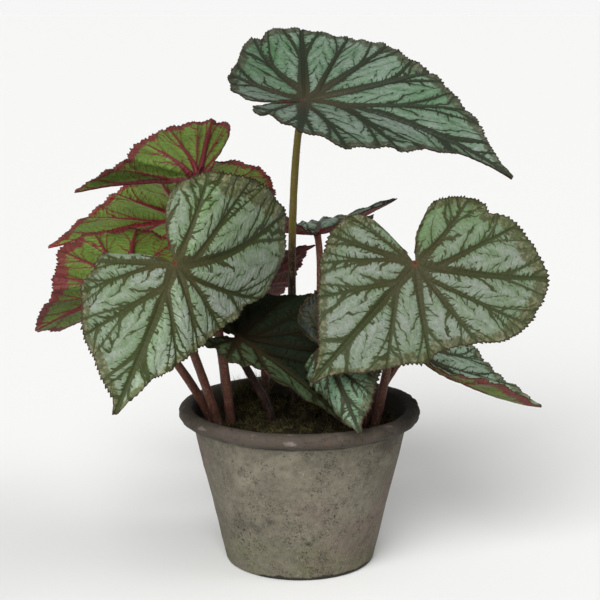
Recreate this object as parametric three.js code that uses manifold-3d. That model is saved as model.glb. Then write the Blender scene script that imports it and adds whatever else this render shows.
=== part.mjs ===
// A rex begonia in a round pot: eleven leaves on hairy stalks that stand in mossy soil.
// Lengths are in millimetres and angles in degrees. The origin is the middle of the pot's underside.
import * as THREE from "three";
import { mergeVertices } from "three/addons/utils/BufferGeometryUtils.js";
import Module from "manifold-3d";

// The pot: a plain cone with a rolled lip and a slightly rounded foot.
const POT_HEIGHT = 98;
const FOOT_RADIUS = 46.5;
const FOOT_ROUND = 2;
const NECK_RADIUS = 66.3;
const NECK_HEIGHT = 88;
const LIP_RADIUS = 75;
const LIP_INNER_RADIUS = 65.5;
const FLOOR_HEIGHT = 8;
const FLOOR_RADIUS = 42;
const INNER_NECK_RADIUS = 62;
const POT_SIDES = 48;

// The soil fills the pot up to a lumpy, mossy top.
const SOIL_LEVEL = 85;
const SOIL_DOME = 2.5;
const SOIL_LUMP = 1.4;
const SOIL_SIDES = 36;
const HOLE_GAP = 0.35;
const WALL_GAP = 0.5;

// Every leaf has one outline, as reach from the stalk in lengths of the tip, at angles from the tip
// towards the leaf's large lobe.
const OUTLINE = [
  [-104, 0.1],
  [-99, 0.3],
  [-92, 0.48],
  [-82, 0.55],
  [-66, 0.585],
  [-48, 0.6],
  [-29, 0.655],
  [-12, 0.79],
  [0, 1],
  [11, 0.83],
  [24, 0.69],
  [40, 0.62],
  [58, 0.6],
  [78, 0.66],
  [98, 0.775],
  [116, 0.845],
  [134, 0.82],
  [152, 0.71],
  [172, 0.6],
  [190, 0.51],
  [203, 0.42],
  [212, 0.28],
  [217, 0.1],
];
// Angles at which the main veins meet the margin.
const VEINS = [-86, -66, -48, -28, 0, 24, 48, 78, 104, 128, 154, 182];
const STEPS_BETWEEN_VEINS = 4;
const BLADE_RINGS = [0.07, 0.34, 0.68, 1];
const BLADE_THICKNESS = 0.9;
const RIB_HEIGHT = 1.3;
const PUFF_HEIGHT = 1.6;
const MARGIN_WAVE = 2;
const TOOTH = 0.025;
// A fold is rounded over this share of the tip's length.
const FOLD_WIDTH = 0.08;
const FOLD_STEPS = 12;

// Stalks taper from the soil to the blade, and end just under it.
const STALK_FOOT_RADIUS = 3.2;
const STALK_TOP_RADIUS = 2.2;
const STALK_SIDES = 8;
const STALK_STEPS = 12;
const STALK_END_BELOW_BLADE = 2.9;

// Each leaf: where its stalk joins the blade, its tip, and the way its upper face looks there.
// bend: arch of the midrib; heel: arch behind the stalk, negative where the lobes rise.
// big, small: how the half with that lobe rises from the midrib, curls on, and turns towards the tip,
// with an optional reach before which it doesn't turn.
// creases: radial folds as [angle, fold, roundness]; lobe: how the raised lobe is fanned and gathered.
// margin: this leaf's reach as a share of the shared outline, as [angle, share] from notch to notch.
// foot, lower: where the stalk stands and where it first heads; lead: its straight length at the blade.
const LEAVES = [
  {
    name: "tall",
    joint: [2, 15, 283],
    tip: [122, -36, 243],
    faces: [0.19, -0.29, 0.94],
    bend: 28,
    heel: -90,
    back: 0.74,
    big: [11, 0, 12],
    small: [9, 0, -16],
    foot: [-3, 34, 74],
    lower: [-7, 76, 160],
    lead: 40,
    margin: [
      [-104, 2.4], [-99, 1.3], [-91, 1.02], [-84, 0.86], [-66, 0.9], [-47, 1.05], [-27, 1], [-10, 0.95],
      [0, 1], [34, 1.02], [68, 0.96], [90, 0.96], [128, 0.98], [145, 1], [150, 0.93], [156, 1.01],
      [175, 0.96], [217, 1],
    ],
  },
  {
    name: "front_left",
    joint: [-71, -61, 196],
    tip: [-100, -114, 123],
    faces: [0.35, -0.81, 0.47],
    bend: 25,
    heel: -50,
    back: 1.15,
    width: 0.97,
    big: [-30, -20, 0],
    small: [0, -20, 0],
    creases: [[-65, -60, 0.05]],
    foot: [-47, -7, 74],
    lower: [-58, -26, 130],
    lead: 35,
    margin: [
      [-104, 1], [-75, 0.76], [-61, 0.85], [-50, 1.02], [-30, 1.11], [-10, 1.08], [0, 1],
      [12, 0.89], [55, 0.9], [84, 0.83], [99, 0.87], [107, 1.1], [114, 1.17], [124, 1.12],
      [137, 1.04], [155, 0.99], [192, 1], [217, 1.15],
    ],
  },
  {
    name: "front_right",
    joint: [66, -50, 194],
    tip: [7, -86, 134],
    faces: [0.13, -0.91, 0.39],
    bend: 20,
    heel: -15,
    small: [0, -10, 0],
    foot: [43, -18, 74],
    lower: [52, -22, 120],
    lead: 35,
    margin: [
      [-104, 1.07], [-91, 0.92], [-63, 0.96], [-49, 1], [0, 1], [36, 1.02], [44, 1.04],
      [54, 0.96], [77, 0.94], [90, 1.01], [107, 0.99], [127, 1.04], [160, 1.06], [167, 0.98],
      [173, 1.06], [204, 1.05], [210, 0.87], [217, 0.9],
    ],
  },
  {
    name: "upper_left",
    joint: [-63, 5, 237],
    tip: [-137, 12, 230],
    faces: [0.05, 0.59, 0.81],
    bend: 10,
    small: [35, 80, 0],
    creases: [
      [100, -25, 0.1],
      [33, 125, 0.05],
    ],
    lobe: { from: 33, fan: 30, shrink: 0.93, gatherFrom: 95, keep: 0.36 },
    foot: [-42, 1, 74],
    lower: [-44, -44, 150],
    lead: 25,
    margin: [
      [-104, 1], [0, 1], [25, 0.97], [33, 0.93], [47, 0.95], [67, 1.06], [92, 1.08],
      [107, 1.01], [131, 1.01], [150, 1.19], [162, 1.21], [168, 1.12], [176, 0.79], [195, 0.5],
      [217, 0.6],
    ],
  },
  {
    name: "mid_left",
    joint: [-76, 100, 200],
    tip: [-168, 90, 183],
    faces: [0, 0.58, 0.82],
    bend: 10,
    heel: 20,
    foot: [-45, 12, 74],
    lower: [-46, 14, 150],
    lead: 25,
    margin: [[-104, 1], [0, 1], [19, 1.05], [58, 1.08], [75, 1], [217, 1]],
  },
  {
    name: "low_left",
    joint: [-102, -12, 172],
    tip: [-167, 14, 142],
    faces: [-0.1, 0.63, 0.77],
    bend: 10,
    creases: [[35, 120, 0.05]],
    foot: [-50, 3, 74],
    lower: [-66, -8, 125],
    lead: 22,
    margin: [
      [-104, 1], [-25, 0.97], [-10, 1.18], [0, 1], [28, 0.94], [66, 1.07], [80, 1.15],
      [92, 1.06], [110, 0.98], [140, 1.03], [217, 1],
    ],
  },
  {
    name: "centre",
    joint: [-37, -17, 144],
    tip: [30, -62, 102],
    faces: [0.27, -0.53, 0.8],
    bend: 10,
    back: 0.8,
    width: 0.88,
    big: [-2, 0, 45],
    small: [26, 0, 0],
    lobe: { from: 20, fan: -22, shrink: 1.06, gatherFrom: 300, keep: 1 },
    foot: [-15, 0, 74],
    lower: [-18, -6, 110],
    lead: 22,
    margin: [
      [-104, 1.2], [-95, 0.9], [-80, 0.66], [-56, 0.76], [-45, 0.7], [-30, 0.7], [-22, 0.86],
      [-9, 0.94], [0, 1], [217, 1],
    ],
  },
  {
    name: "centre_low",
    joint: [14, -58, 147],
    tip: [34, -84, 103],
    faces: [-0.21, -0.7, 0.69],
    bend: 20,
    width: 0.9,
    big: [0, -10, 0],
    small: [-60, -30, 0],
    foot: [34, -20, 74],
    lower: [47, -58, 115],
    lead: 20,
    margin: [[-104, 1], [0, 1], [20, 1.07], [44, 1.1], [70, 1.05], [120, 1], [217, 1]],
  },
  {
    name: "right_low",
    joint: [66, -8, 138],
    tip: [143, -36, 105],
    faces: [0, -0.11, 0.99],
    bend: -36,
    heel: 20,
    small: [-10, 0, 80, 0.37],
    foot: [38, -9, 74],
    lower: [44, -10, 110],
    lead: 18,
    margin: [
      [-104, 1], [-60, 1], [-25, 1.13], [-10, 1.13], [0, 1], [20, 1.07], [40, 1.13], [60, 1.14],
      [90, 1.05], [120, 1], [217, 1],
    ],
  },
  {
    name: "back_right",
    joint: [11, 72, 194],
    tip: [65, 117, 210],
    faces: [-0.05, 0.04, 1],
    bend: -10,
    heel: -240,
    back: 0.75,
    lobe: { from: 40, fan: 0, shrink: 0.66, gatherFrom: 300, keep: 1 },
    small: [15, 0, 6],
    foot: [8, 30, 74],
    lower: [13, 74, 130],
    lead: 20,
    margin: [[-104, 1], [-60, 0.95], [-30, 0.62], [-8, 0.62], [0, 1], [217, 1]],
  },
  {
    name: "back_centre",
    joint: [-32, 84, 155],
    tip: [10, 76, 184],
    faces: [-0.44, 0.61, 0.65],
    bend: 20,
    heel: 20,
    foot: [-22, 32, 74],
    lower: [-22, 70, 120],
    lead: 12,
  },
];

const wasm = await Module();
wasm.setup();

const radians = THREE.MathUtils.degToRad;

// The outline's reach at an angle: a smooth curve through its points, with a corner at the tip.
function reachAt(angle) {
  const tip = OUTLINE.findIndex(([, reach]) => reach === 1);
  const points = angle <= 0 ? OUTLINE.slice(0, tip + 1) : OUTLINE.slice(tip);
  const last = points.length - 1;
  const slope = (i) => (points[i + 1][1] - points[i][1]) / (points[i + 1][0] - points[i][0]);
  const gap = (i) => points[i + 1][0] - points[i][0];
  const tangent = (i) => {
    if (i === 0) return slope(0);
    if (i === last) return slope(last - 1);
    return (slope(i - 1) * gap(i) + slope(i) * gap(i - 1)) / (gap(i - 1) + gap(i));
  };
  let i = 0;
  while (i < last - 1 && angle > points[i + 1][0]) i += 1;
  const h = gap(i);
  const t = (angle - points[i][0]) / h;
  return (
    (2 * t ** 3 - 3 * t ** 2 + 1) * points[i][1] +
    (t ** 3 - 2 * t ** 2 + t) * h * tangent(i) +
    (3 * t ** 2 - 2 * t ** 3) * points[i + 1][1] +
    (t ** 3 - t ** 2) * h * tangent(i + 1)
  );
}

// A leaf's own share of the outline at an angle, easing from each of its margin's stops to the next.
function marginShare(margin, angle) {
  if (!margin) return 1;
  const next = Math.max(1, margin.findIndex(([stop]) => stop >= angle));
  const [from, share] = margin[next - 1];
  const [to, nextShare] = margin[next];
  return THREE.MathUtils.lerp(share, nextShare, THREE.MathUtils.smoothstep(angle, from, to));
}

// Where a point at a distance from a fold line comes to lie: across, up, and the sheet's slope there.
function foldProfile(distance, fold, curl, roundness = FOLD_WIDTH) {
  let across = 0;
  let up = 0;
  const slopeAt = (s) => fold * (1 - Math.exp(-s / roundness)) + curl * s;
  for (let i = 0; i < FOLD_STEPS; i += 1) {
    const slope = slopeAt((distance * (i + 0.5)) / FOLD_STEPS);
    across += (Math.cos(slope) * distance) / FOLD_STEPS;
    up += (Math.sin(slope) * distance) / FOLD_STEPS;
  }
  return { across, up, slope: slopeAt(distance) };
}

// Fans and gathers the raised lobe within the flat leaf.
function shapeLobe(lobe, angle, reach) {
  if (!lobe) return { angle, reach };
  const t = THREE.MathUtils.smoothstep(angle, lobe.from, lobe.from + 25);
  const gathered = (1 - lobe.keep) * Math.max(angle - lobe.gatherFrom, 0);
  return { angle: angle + lobe.fan * t - gathered, reach: reach * (1 + (lobe.shrink - 1) * t) };
}

// A point of the leaf in its own frame: x to the tip, y to the large lobe, z up from the upper face.
// reach is in tip lengths and height in millimetres from the middle of the blade.
function leafPoint(leaf, length, flatAngle, flatReach, height) {
  const { angle, reach } = shapeLobe(leaf.lobe, flatAngle, flatReach);
  const isBig = flatAngle >= 0;
  let a = reach * Math.cos(radians(angle));
  let b = reach * Math.sin(radians(angle)) * (leaf.width ?? 1);
  let h = height / length;
  if (a < 0) a *= leaf.back ?? 1;
  for (const [creaseAngle, fold, roundness] of leaf.creases ?? []) {
    const side = creaseAngle >= 0 ? 1 : -1;
    const along = new THREE.Vector2(Math.cos(radians(creaseAngle)), Math.sin(radians(creaseAngle)));
    const beside = new THREE.Vector2(-side * along.y, side * along.x);
    const t = a * along.x + b * along.y;
    let d = a * beside.x + b * beside.y;
    if (d > 0 && isBig === (side > 0)) {
      const folded = foldProfile(d, radians(fold), 0, roundness);
      d = folded.across - h * Math.sin(folded.slope);
      h = folded.up + h * Math.cos(folded.slope);
    }
    a = t * along.x + d * beside.x;
    b = t * along.y + d * beside.y;
  }
  const side = isBig ? 1 : -1;
  const [fold, curl, turn, turnFrom = -1] = (isBig ? leaf.big : leaf.small) ?? [0, 0, 0];
  const rise = radians(fold + turn * Math.max(a, turnFrom));
  const half = foldProfile(Math.max(side * b, 0), rise, radians(curl));
  const y = side * (half.across - h * Math.sin(half.slope) + Math.min(side * b, 0));
  const z = half.up + h * Math.cos(half.slope);
  const bend = radians(leaf.bend);
  const turnPerLength = (a >= 0 ? bend : radians(leaf.heel ?? 0)) || 1e-6;
  const slope = bend / 2 - turnPerLength * a;
  const x = (Math.sin(bend / 2) - Math.sin(slope)) / turnPerLength - z * Math.sin(slope);
  const up = (Math.cos(slope) - Math.cos(bend / 2)) / turnPerLength + z * Math.cos(slope);
  return new THREE.Vector3(x, y, up).multiplyScalar(length);
}

// The leaf's own axes and the length of its arched midrib.
function leafFrame(leaf) {
  const joint = new THREE.Vector3(...leaf.joint);
  const toTip = new THREE.Vector3(...leaf.tip).sub(joint);
  const chord = toTip.length();
  const x = toTip.normalize();
  const z = new THREE.Vector3(...leaf.faces);
  z.addScaledVector(x, -z.dot(x)).normalize();
  const y = new THREE.Vector3().crossVectors(z, x);
  const half = radians(leaf.bend) / 2;
  return { joint, x, y, z, length: (chord * half) / Math.sin(half) };
}

// Columns of the blade from one side of the heel's notch round to the other.
// Each has its angle, its vein's strength, and how far it lies between two veins.
function bladeColumns() {
  const stops = [OUTLINE[0][0], ...VEINS, OUTLINE.at(-1)[0]];
  const columns = [];
  for (let i = 0; i < stops.length - 1; i += 1) {
    for (let k = 0; k < STEPS_BETWEEN_VEINS; k += 1) {
      const between = k / STEPS_BETWEEN_VEINS;
      const angle = stops[i] + (stops[i + 1] - stops[i]) * between;
      columns.push({ angle, between, onVein: k === 0 && i > 0 });
    }
  }
  columns.push({ angle: stops.at(-1), between: 1, onVein: false });
  return columns;
}

// A leaf blade: puffed between its veins, with ribs below, a waved margin and a toothed edge.
function bladeGeometry(leaf, length) {
  const columns = bladeColumns();
  const positions = [];
  const indices = [];
  const rows = BLADE_RINGS.length;
  const perFace = columns.length * rows + 1;
  for (const face of [1, -1]) {
    const apexHeight = face > 0 ? BLADE_THICKNESS / 2 : -BLADE_THICKNESS / 2 - RIB_HEIGHT;
    positions.push(...leafPoint(leaf, length, 0, 0, apexHeight).toArray());
    columns.forEach(({ angle, between, onVein }, i) => {
      const tooth = 1 + (i % 2 === 0 ? TOOTH : -TOOTH);
      for (const ring of BLADE_RINGS) {
        const edge = reachAt(angle) * marginShare(leaf.margin, angle);
        const reach = edge * ring * (ring === 1 && angle !== 0 ? tooth : 1);
        const puff = PUFF_HEIGHT * Math.sin(Math.PI * between) * Math.sin(Math.PI * Math.min(ring, 0.85));
        const wave = MARGIN_WAVE * Math.sin(radians(4.3 * angle) + leaf.bend) * ring ** 3;
        const rib = onVein ? RIB_HEIGHT * (1 - ring) : 0;
        const height = puff + wave + (face > 0 ? BLADE_THICKNESS / 2 : -BLADE_THICKNESS / 2 - rib);
        positions.push(...leafPoint(leaf, length, angle, reach, height).toArray());
      }
    });
  }
  const vertex = (face, column, row) => face * perFace + (row < 0 ? 0 : 1 + column * rows + row);
  const triangle = (face, p, q, r) => {
    if (face === 0) indices.push(p, q, r);
    else indices.push(p, r, q);
  };
  for (const face of [0, 1]) {
    for (let i = 0; i < columns.length - 1; i += 1) {
      triangle(face, vertex(face, i, -1), vertex(face, i, 0), vertex(face, i + 1, 0));
      for (let k = 0; k < rows - 1; k += 1) {
        triangle(face, vertex(face, i, k), vertex(face, i, k + 1), vertex(face, i + 1, k + 1));
        triangle(face, vertex(face, i, k), vertex(face, i + 1, k + 1), vertex(face, i + 1, k));
      }
    }
  }
  const border = [[0, -1]];
  for (let k = 0; k < rows; k += 1) border.push([0, k]);
  for (let i = 1; i < columns.length; i += 1) border.push([i, rows - 1]);
  for (let k = rows - 2; k >= 0; k -= 1) border.push([columns.length - 1, k]);
  border.forEach((here, i) => {
    const next = border[(i + 1) % border.length];
    const [top, nextTop] = [vertex(0, ...here), vertex(0, ...next)];
    const [bottom, nextBottom] = [vertex(1, ...here), vertex(1, ...next)];
    indices.push(top, bottom, nextBottom, top, nextBottom, nextTop);
  });
  return closedGeometry(positions, indices);
}

function closedGeometry(positions, indices) {
  const geometry = new THREE.BufferGeometry();
  geometry.setAttribute("position", new THREE.Float32BufferAttribute(positions, 3));
  geometry.setIndex(indices);
  geometry.computeVertexNormals();
  return geometry;
}

// The stalk's line: up from the soil, then straight on to the underside of the blade.
function stalkCurve(leaf) {
  const { joint, z } = leafFrame(leaf);
  return new THREE.CubicBezierCurve3(
    new THREE.Vector3(...leaf.foot),
    new THREE.Vector3(...leaf.lower),
    joint.clone().addScaledVector(z, -leaf.lead),
    joint.clone().addScaledVector(z, -STALK_END_BELOW_BLADE),
  );
}

// A tapered round bar along a curve, with flat ends; extra widens it and lengthens its foot.
function barGeometry(curve, extra = 0) {
  const frames = curve.computeFrenetFrames(STALK_STEPS, false);
  const positions = [];
  const indices = [];
  for (let i = 0; i <= STALK_STEPS; i += 1) {
    const t = i / STALK_STEPS;
    const centre = curve.getPointAt(t);
    if (i === 0) centre.addScaledVector(frames.tangents[0], -extra);
    const radius = THREE.MathUtils.lerp(STALK_FOOT_RADIUS, STALK_TOP_RADIUS, Math.sqrt(t)) + extra;
    for (let k = 0; k < STALK_SIDES; k += 1) {
      const turn = (2 * Math.PI * k) / STALK_SIDES;
      const point = centre
        .clone()
        .addScaledVector(frames.normals[i], radius * Math.cos(turn))
        .addScaledVector(frames.binormals[i], radius * Math.sin(turn));
      positions.push(...point.toArray());
    }
  }
  const vertex = (i, k) => i * STALK_SIDES + (k % STALK_SIDES);
  for (let i = 0; i < STALK_STEPS; i += 1) {
    for (let k = 0; k < STALK_SIDES; k += 1) {
      indices.push(vertex(i, k), vertex(i, k + 1), vertex(i + 1, k + 1));
      indices.push(vertex(i, k), vertex(i + 1, k + 1), vertex(i + 1, k));
    }
  }
  for (let k = 1; k < STALK_SIDES - 1; k += 1) {
    indices.push(vertex(0, 0), vertex(0, k + 1), vertex(0, k));
    indices.push(vertex(STALK_STEPS, 0), vertex(STALK_STEPS, k), vertex(STALK_STEPS, k + 1));
  }
  return closedGeometry(positions, indices);
}

// A profile of [radius, height] pairs turned about the upright axis.
function turned(profile, sides) {
  const points = profile.map(([radius, height]) => new THREE.Vector2(radius, height));
  return new THREE.LatheGeometry(points, sides).rotateX(Math.PI / 2);
}

function potGeometry() {
  return turned(
    [
      [0, 0],
      [FOOT_RADIUS - FOOT_ROUND, 0],
      [FOOT_RADIUS, FOOT_ROUND],
      [NECK_RADIUS, NECK_HEIGHT],
      [LIP_RADIUS - 4.5, NECK_HEIGHT + 1.2],
      [LIP_RADIUS - 0.8, NECK_HEIGHT + 3.6],
      [LIP_RADIUS, POT_HEIGHT - 3.6],
      [LIP_RADIUS - 0.9, POT_HEIGHT - 1.2],
      [LIP_RADIUS - 3, POT_HEIGHT],
      [LIP_INNER_RADIUS + 1.5, POT_HEIGHT],
      [LIP_INNER_RADIUS, POT_HEIGHT - 1.5],
      [INNER_NECK_RADIUS, NECK_HEIGHT],
      [FLOOR_RADIUS, FLOOR_HEIGHT],
      [0, FLOOR_HEIGHT],
    ],
    POT_SIDES,
  );
}

// The soil's height over its level at a place in the pot.
function soilHeight(x, y) {
  const dome = SOIL_DOME * (1 - (x * x + y * y) / INNER_NECK_RADIUS ** 2);
  const lumps = Math.sin(0.21 * x + 1) * Math.cos(0.19 * y) + 0.6 * Math.sin(0.43 * y + 0.37 * x);
  return dome + SOIL_LUMP * lumps;
}

function soilGeometry() {
  const wallRadius = (height) => {
    const up = (height - FLOOR_HEIGHT) / (NECK_HEIGHT - FLOOR_HEIGHT);
    return THREE.MathUtils.lerp(FLOOR_RADIUS, INNER_NECK_RADIUS, up) - WALL_GAP;
  };
  const bottom = FLOOR_HEIGHT + WALL_GAP;
  const edge = wallRadius(SOIL_LEVEL - 3);
  const inner = [0.97, 0.8, 0.6, 0.4, 0.2].map((share) => [edge * share, SOIL_LEVEL]);
  const wall = [[wallRadius(bottom), bottom], [edge, SOIL_LEVEL - 3]];
  const profile = [[0, bottom], ...wall, ...inner, [0, SOIL_LEVEL]];
  const geometry = turned(profile, SOIL_SIDES);
  const position = geometry.getAttribute("position");
  for (let i = 0; i < position.count; i += 1) {
    if (position.getZ(i) > SOIL_LEVEL - 1) {
      position.setZ(i, SOIL_LEVEL + soilHeight(position.getX(i), position.getY(i)));
    }
  }
  return geometry;
}

function toSolid(geometry) {
  const bare = geometry.clone();
  bare.deleteAttribute("normal");
  bare.deleteAttribute("uv");
  const merged = mergeVertices(bare, 1e-3);
  const mesh = new wasm.Mesh({
    numProp: 3,
    vertProperties: merged.getAttribute("position").array,
    triVerts: new Uint32Array(merged.index.array),
  });
  return new wasm.Manifold(mesh);
}

function toGeometry(solid) {
  const mesh = solid.getMesh();
  return closedGeometry(Array.from(mesh.vertProperties), Array.from(mesh.triVerts));
}

function finish(colour, roughness) {
  return new THREE.MeshStandardMaterial({ color: colour, roughness, metalness: 0, flatShading: false });
}

const POT_FINISH = finish("#6f695c", 0.88);
const SOIL_FINISH = finish("#1f1c12", 0.97);
const BLADE_FINISH = finish("#7f9c80", 0.55);
const STALK_FINISH = finish("#5f3a37", 0.7);

function named(name, geometry, material) {
  const mesh = new THREE.Mesh(geometry, material);
  mesh.name = name;
  return mesh;
}

const begonia = new THREE.Group();

const pot = named("pot", potGeometry(), POT_FINISH);
begonia.add(pot);

// The soil has a plain hole for each stalk.
let soil = toSolid(soilGeometry());
for (const leaf of LEAVES) {
  soil = soil.subtract(toSolid(barGeometry(stalkCurve(leaf), HOLE_GAP)));
}
begonia.add(named("soil", toGeometry(soil), SOIL_FINISH));

for (const leaf of LEAVES) {
  const { joint, x, y, z, length } = leafFrame(leaf);
  const plant = new THREE.Group();
  const blade = named(`leaf_${leaf.name}_blade`, bladeGeometry(leaf, length), BLADE_FINISH);
  blade.position.copy(joint);
  blade.quaternion.setFromRotationMatrix(new THREE.Matrix4().makeBasis(x, y, z));
  plant.add(blade);
  plant.add(named(`leaf_${leaf.name}_stalk`, barGeometry(stalkCurve(leaf)), STALK_FINISH));
  begonia.add(plant);
}

export default begonia;
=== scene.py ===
"""A foliage begonia in a weathered pot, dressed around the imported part.

Lengths are in metres and angles in degrees, unless a name or a comment says otherwise. Patterns that follow a
leaf are laid out in millimetres on the flat leaf and carried by four attributes of its mesh.
"""

import logging
import math
from dataclasses import dataclass, field
from enum import Enum

import bmesh
import bpy
import numpy as np
from bpy.types import Material, Mesh, Node, NodeSocket, NodeTree, Object
from mathutils import Euler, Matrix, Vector, noise

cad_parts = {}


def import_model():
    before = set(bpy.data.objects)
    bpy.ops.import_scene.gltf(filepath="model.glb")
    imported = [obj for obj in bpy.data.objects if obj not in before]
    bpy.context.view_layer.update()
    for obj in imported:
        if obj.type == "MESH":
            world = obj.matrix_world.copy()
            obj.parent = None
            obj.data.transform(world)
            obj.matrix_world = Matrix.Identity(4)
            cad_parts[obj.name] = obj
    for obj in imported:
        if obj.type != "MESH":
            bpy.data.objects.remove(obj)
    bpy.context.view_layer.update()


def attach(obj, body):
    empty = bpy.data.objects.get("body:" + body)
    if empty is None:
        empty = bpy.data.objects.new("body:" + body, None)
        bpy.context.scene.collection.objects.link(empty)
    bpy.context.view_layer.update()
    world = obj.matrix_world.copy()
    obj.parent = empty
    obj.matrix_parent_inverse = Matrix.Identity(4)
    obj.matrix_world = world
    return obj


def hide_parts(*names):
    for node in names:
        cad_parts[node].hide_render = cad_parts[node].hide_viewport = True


LOG = logging.getLogger("begonia")
MM = 0.001
# Vertices closer than this are one.
DOUBLES = 1e-6

Pair = tuple[float, float]
Point = tuple[float, float, float]
Rgb = tuple[float, float, float]
Array = np.ndarray
# What feeds a node's inputs, by their names or numbers.
Feeds = dict[str | int, object]


def srgb(red: int, green: int, blue: int) -> Rgb:
    """Turns a display colour, in numbers from 0 to 255, into the linear colour that shaders use."""
    shares = (value / 255 for value in (red, green, blue))
    return tuple(s / 12.92 if s <= 0.04045 else ((s + 0.055) / 1.055) ** 2.4 for s in shares)


def smoothstep(low: float, high: float, value: Array) -> Array:
    """Rises smoothly from 0 at low to 1 at high."""
    share = np.clip((value - low) / (high - low), 0, 1)
    return share * share * (3 - 2 * share)


def between_stops(stops: tuple[tuple[float, ...], ...], angle: Array) -> list[Array]:
    """Reads each further value of the stops at angles. A stop's first value is its own angle."""
    at, *columns = np.array(stops, float).T
    return [np.interp(angle, at, column) for column in columns]


# Leaves


@dataclass(frozen=True)
class Crease:
    """A radial fold of the blade: its angle on the flat leaf, how far it folds and how round it is."""

    angle: float
    fold: float
    roundness: float


@dataclass(frozen=True)
class Half:
    """How half a blade lies: its rise from the midrib, its curl, and its turn from some reach to the tip."""

    rise: float = 0.0
    curl: float = 0.0
    turn: float = 0.0
    turn_from: float = -1.0


@dataclass(frozen=True)
class Lobe:
    """How a large lobe is fanned out over a spread of angles, shrunk and gathered within the flat leaf."""

    start: float
    fan: float
    shrink: float
    gather_from: float = 300.0
    keep: float = 1.0
    spread: float = 25.0


class Light(Enum):
    """A face of a leaf: fresh, lit with painted light, cool and deep, or darkened with painted shade."""

    FRESH = "fresh"
    # A lighter copy of a finish: painted light.
    LIT = "pale"
    COOL = "cool"
    # A darker copy of a finish: painted shade.
    SHADED = "shaded"


@dataclass(frozen=True)
class LeafForm:
    """One leaf: where its stalk joins the blade, its tip, the way its upper face looks, and its folds."""

    name: str
    joint: Point
    tip: Point
    faces: Point
    foot: Point
    lower: Point
    lead: float
    bend: float
    heel: float = 0.0
    back: float = 1.0
    width: float = 1.0
    big: Half = Half()
    small: Half = Half()
    creases: tuple[Crease, ...] = ()
    lobe: Lobe | None = None
    margin: tuple[Pair, ...] = ((-104, 1), (217, 1))
    faint_veins: tuple[int, ...] = ()
    light: Light = Light.FRESH
    under: Light = Light.FRESH
    # Painted light and shade on each half, against its finish: the large lobe's half, then the other.
    tone: Pair = (1.0, 1.0)
    # Angle, and the painted shade of the leaf there, against its half.
    shade: tuple[Pair, ...] = ((0, 1),)
    # How wide its veins are, against those of the other leaves.
    veined: float = 1.0
    # Angle, how much wider the margin's band is there in millimetres, and how much greener the leaf is.
    growth: tuple[Point, ...] = ((0, 0, 0),)


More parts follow.
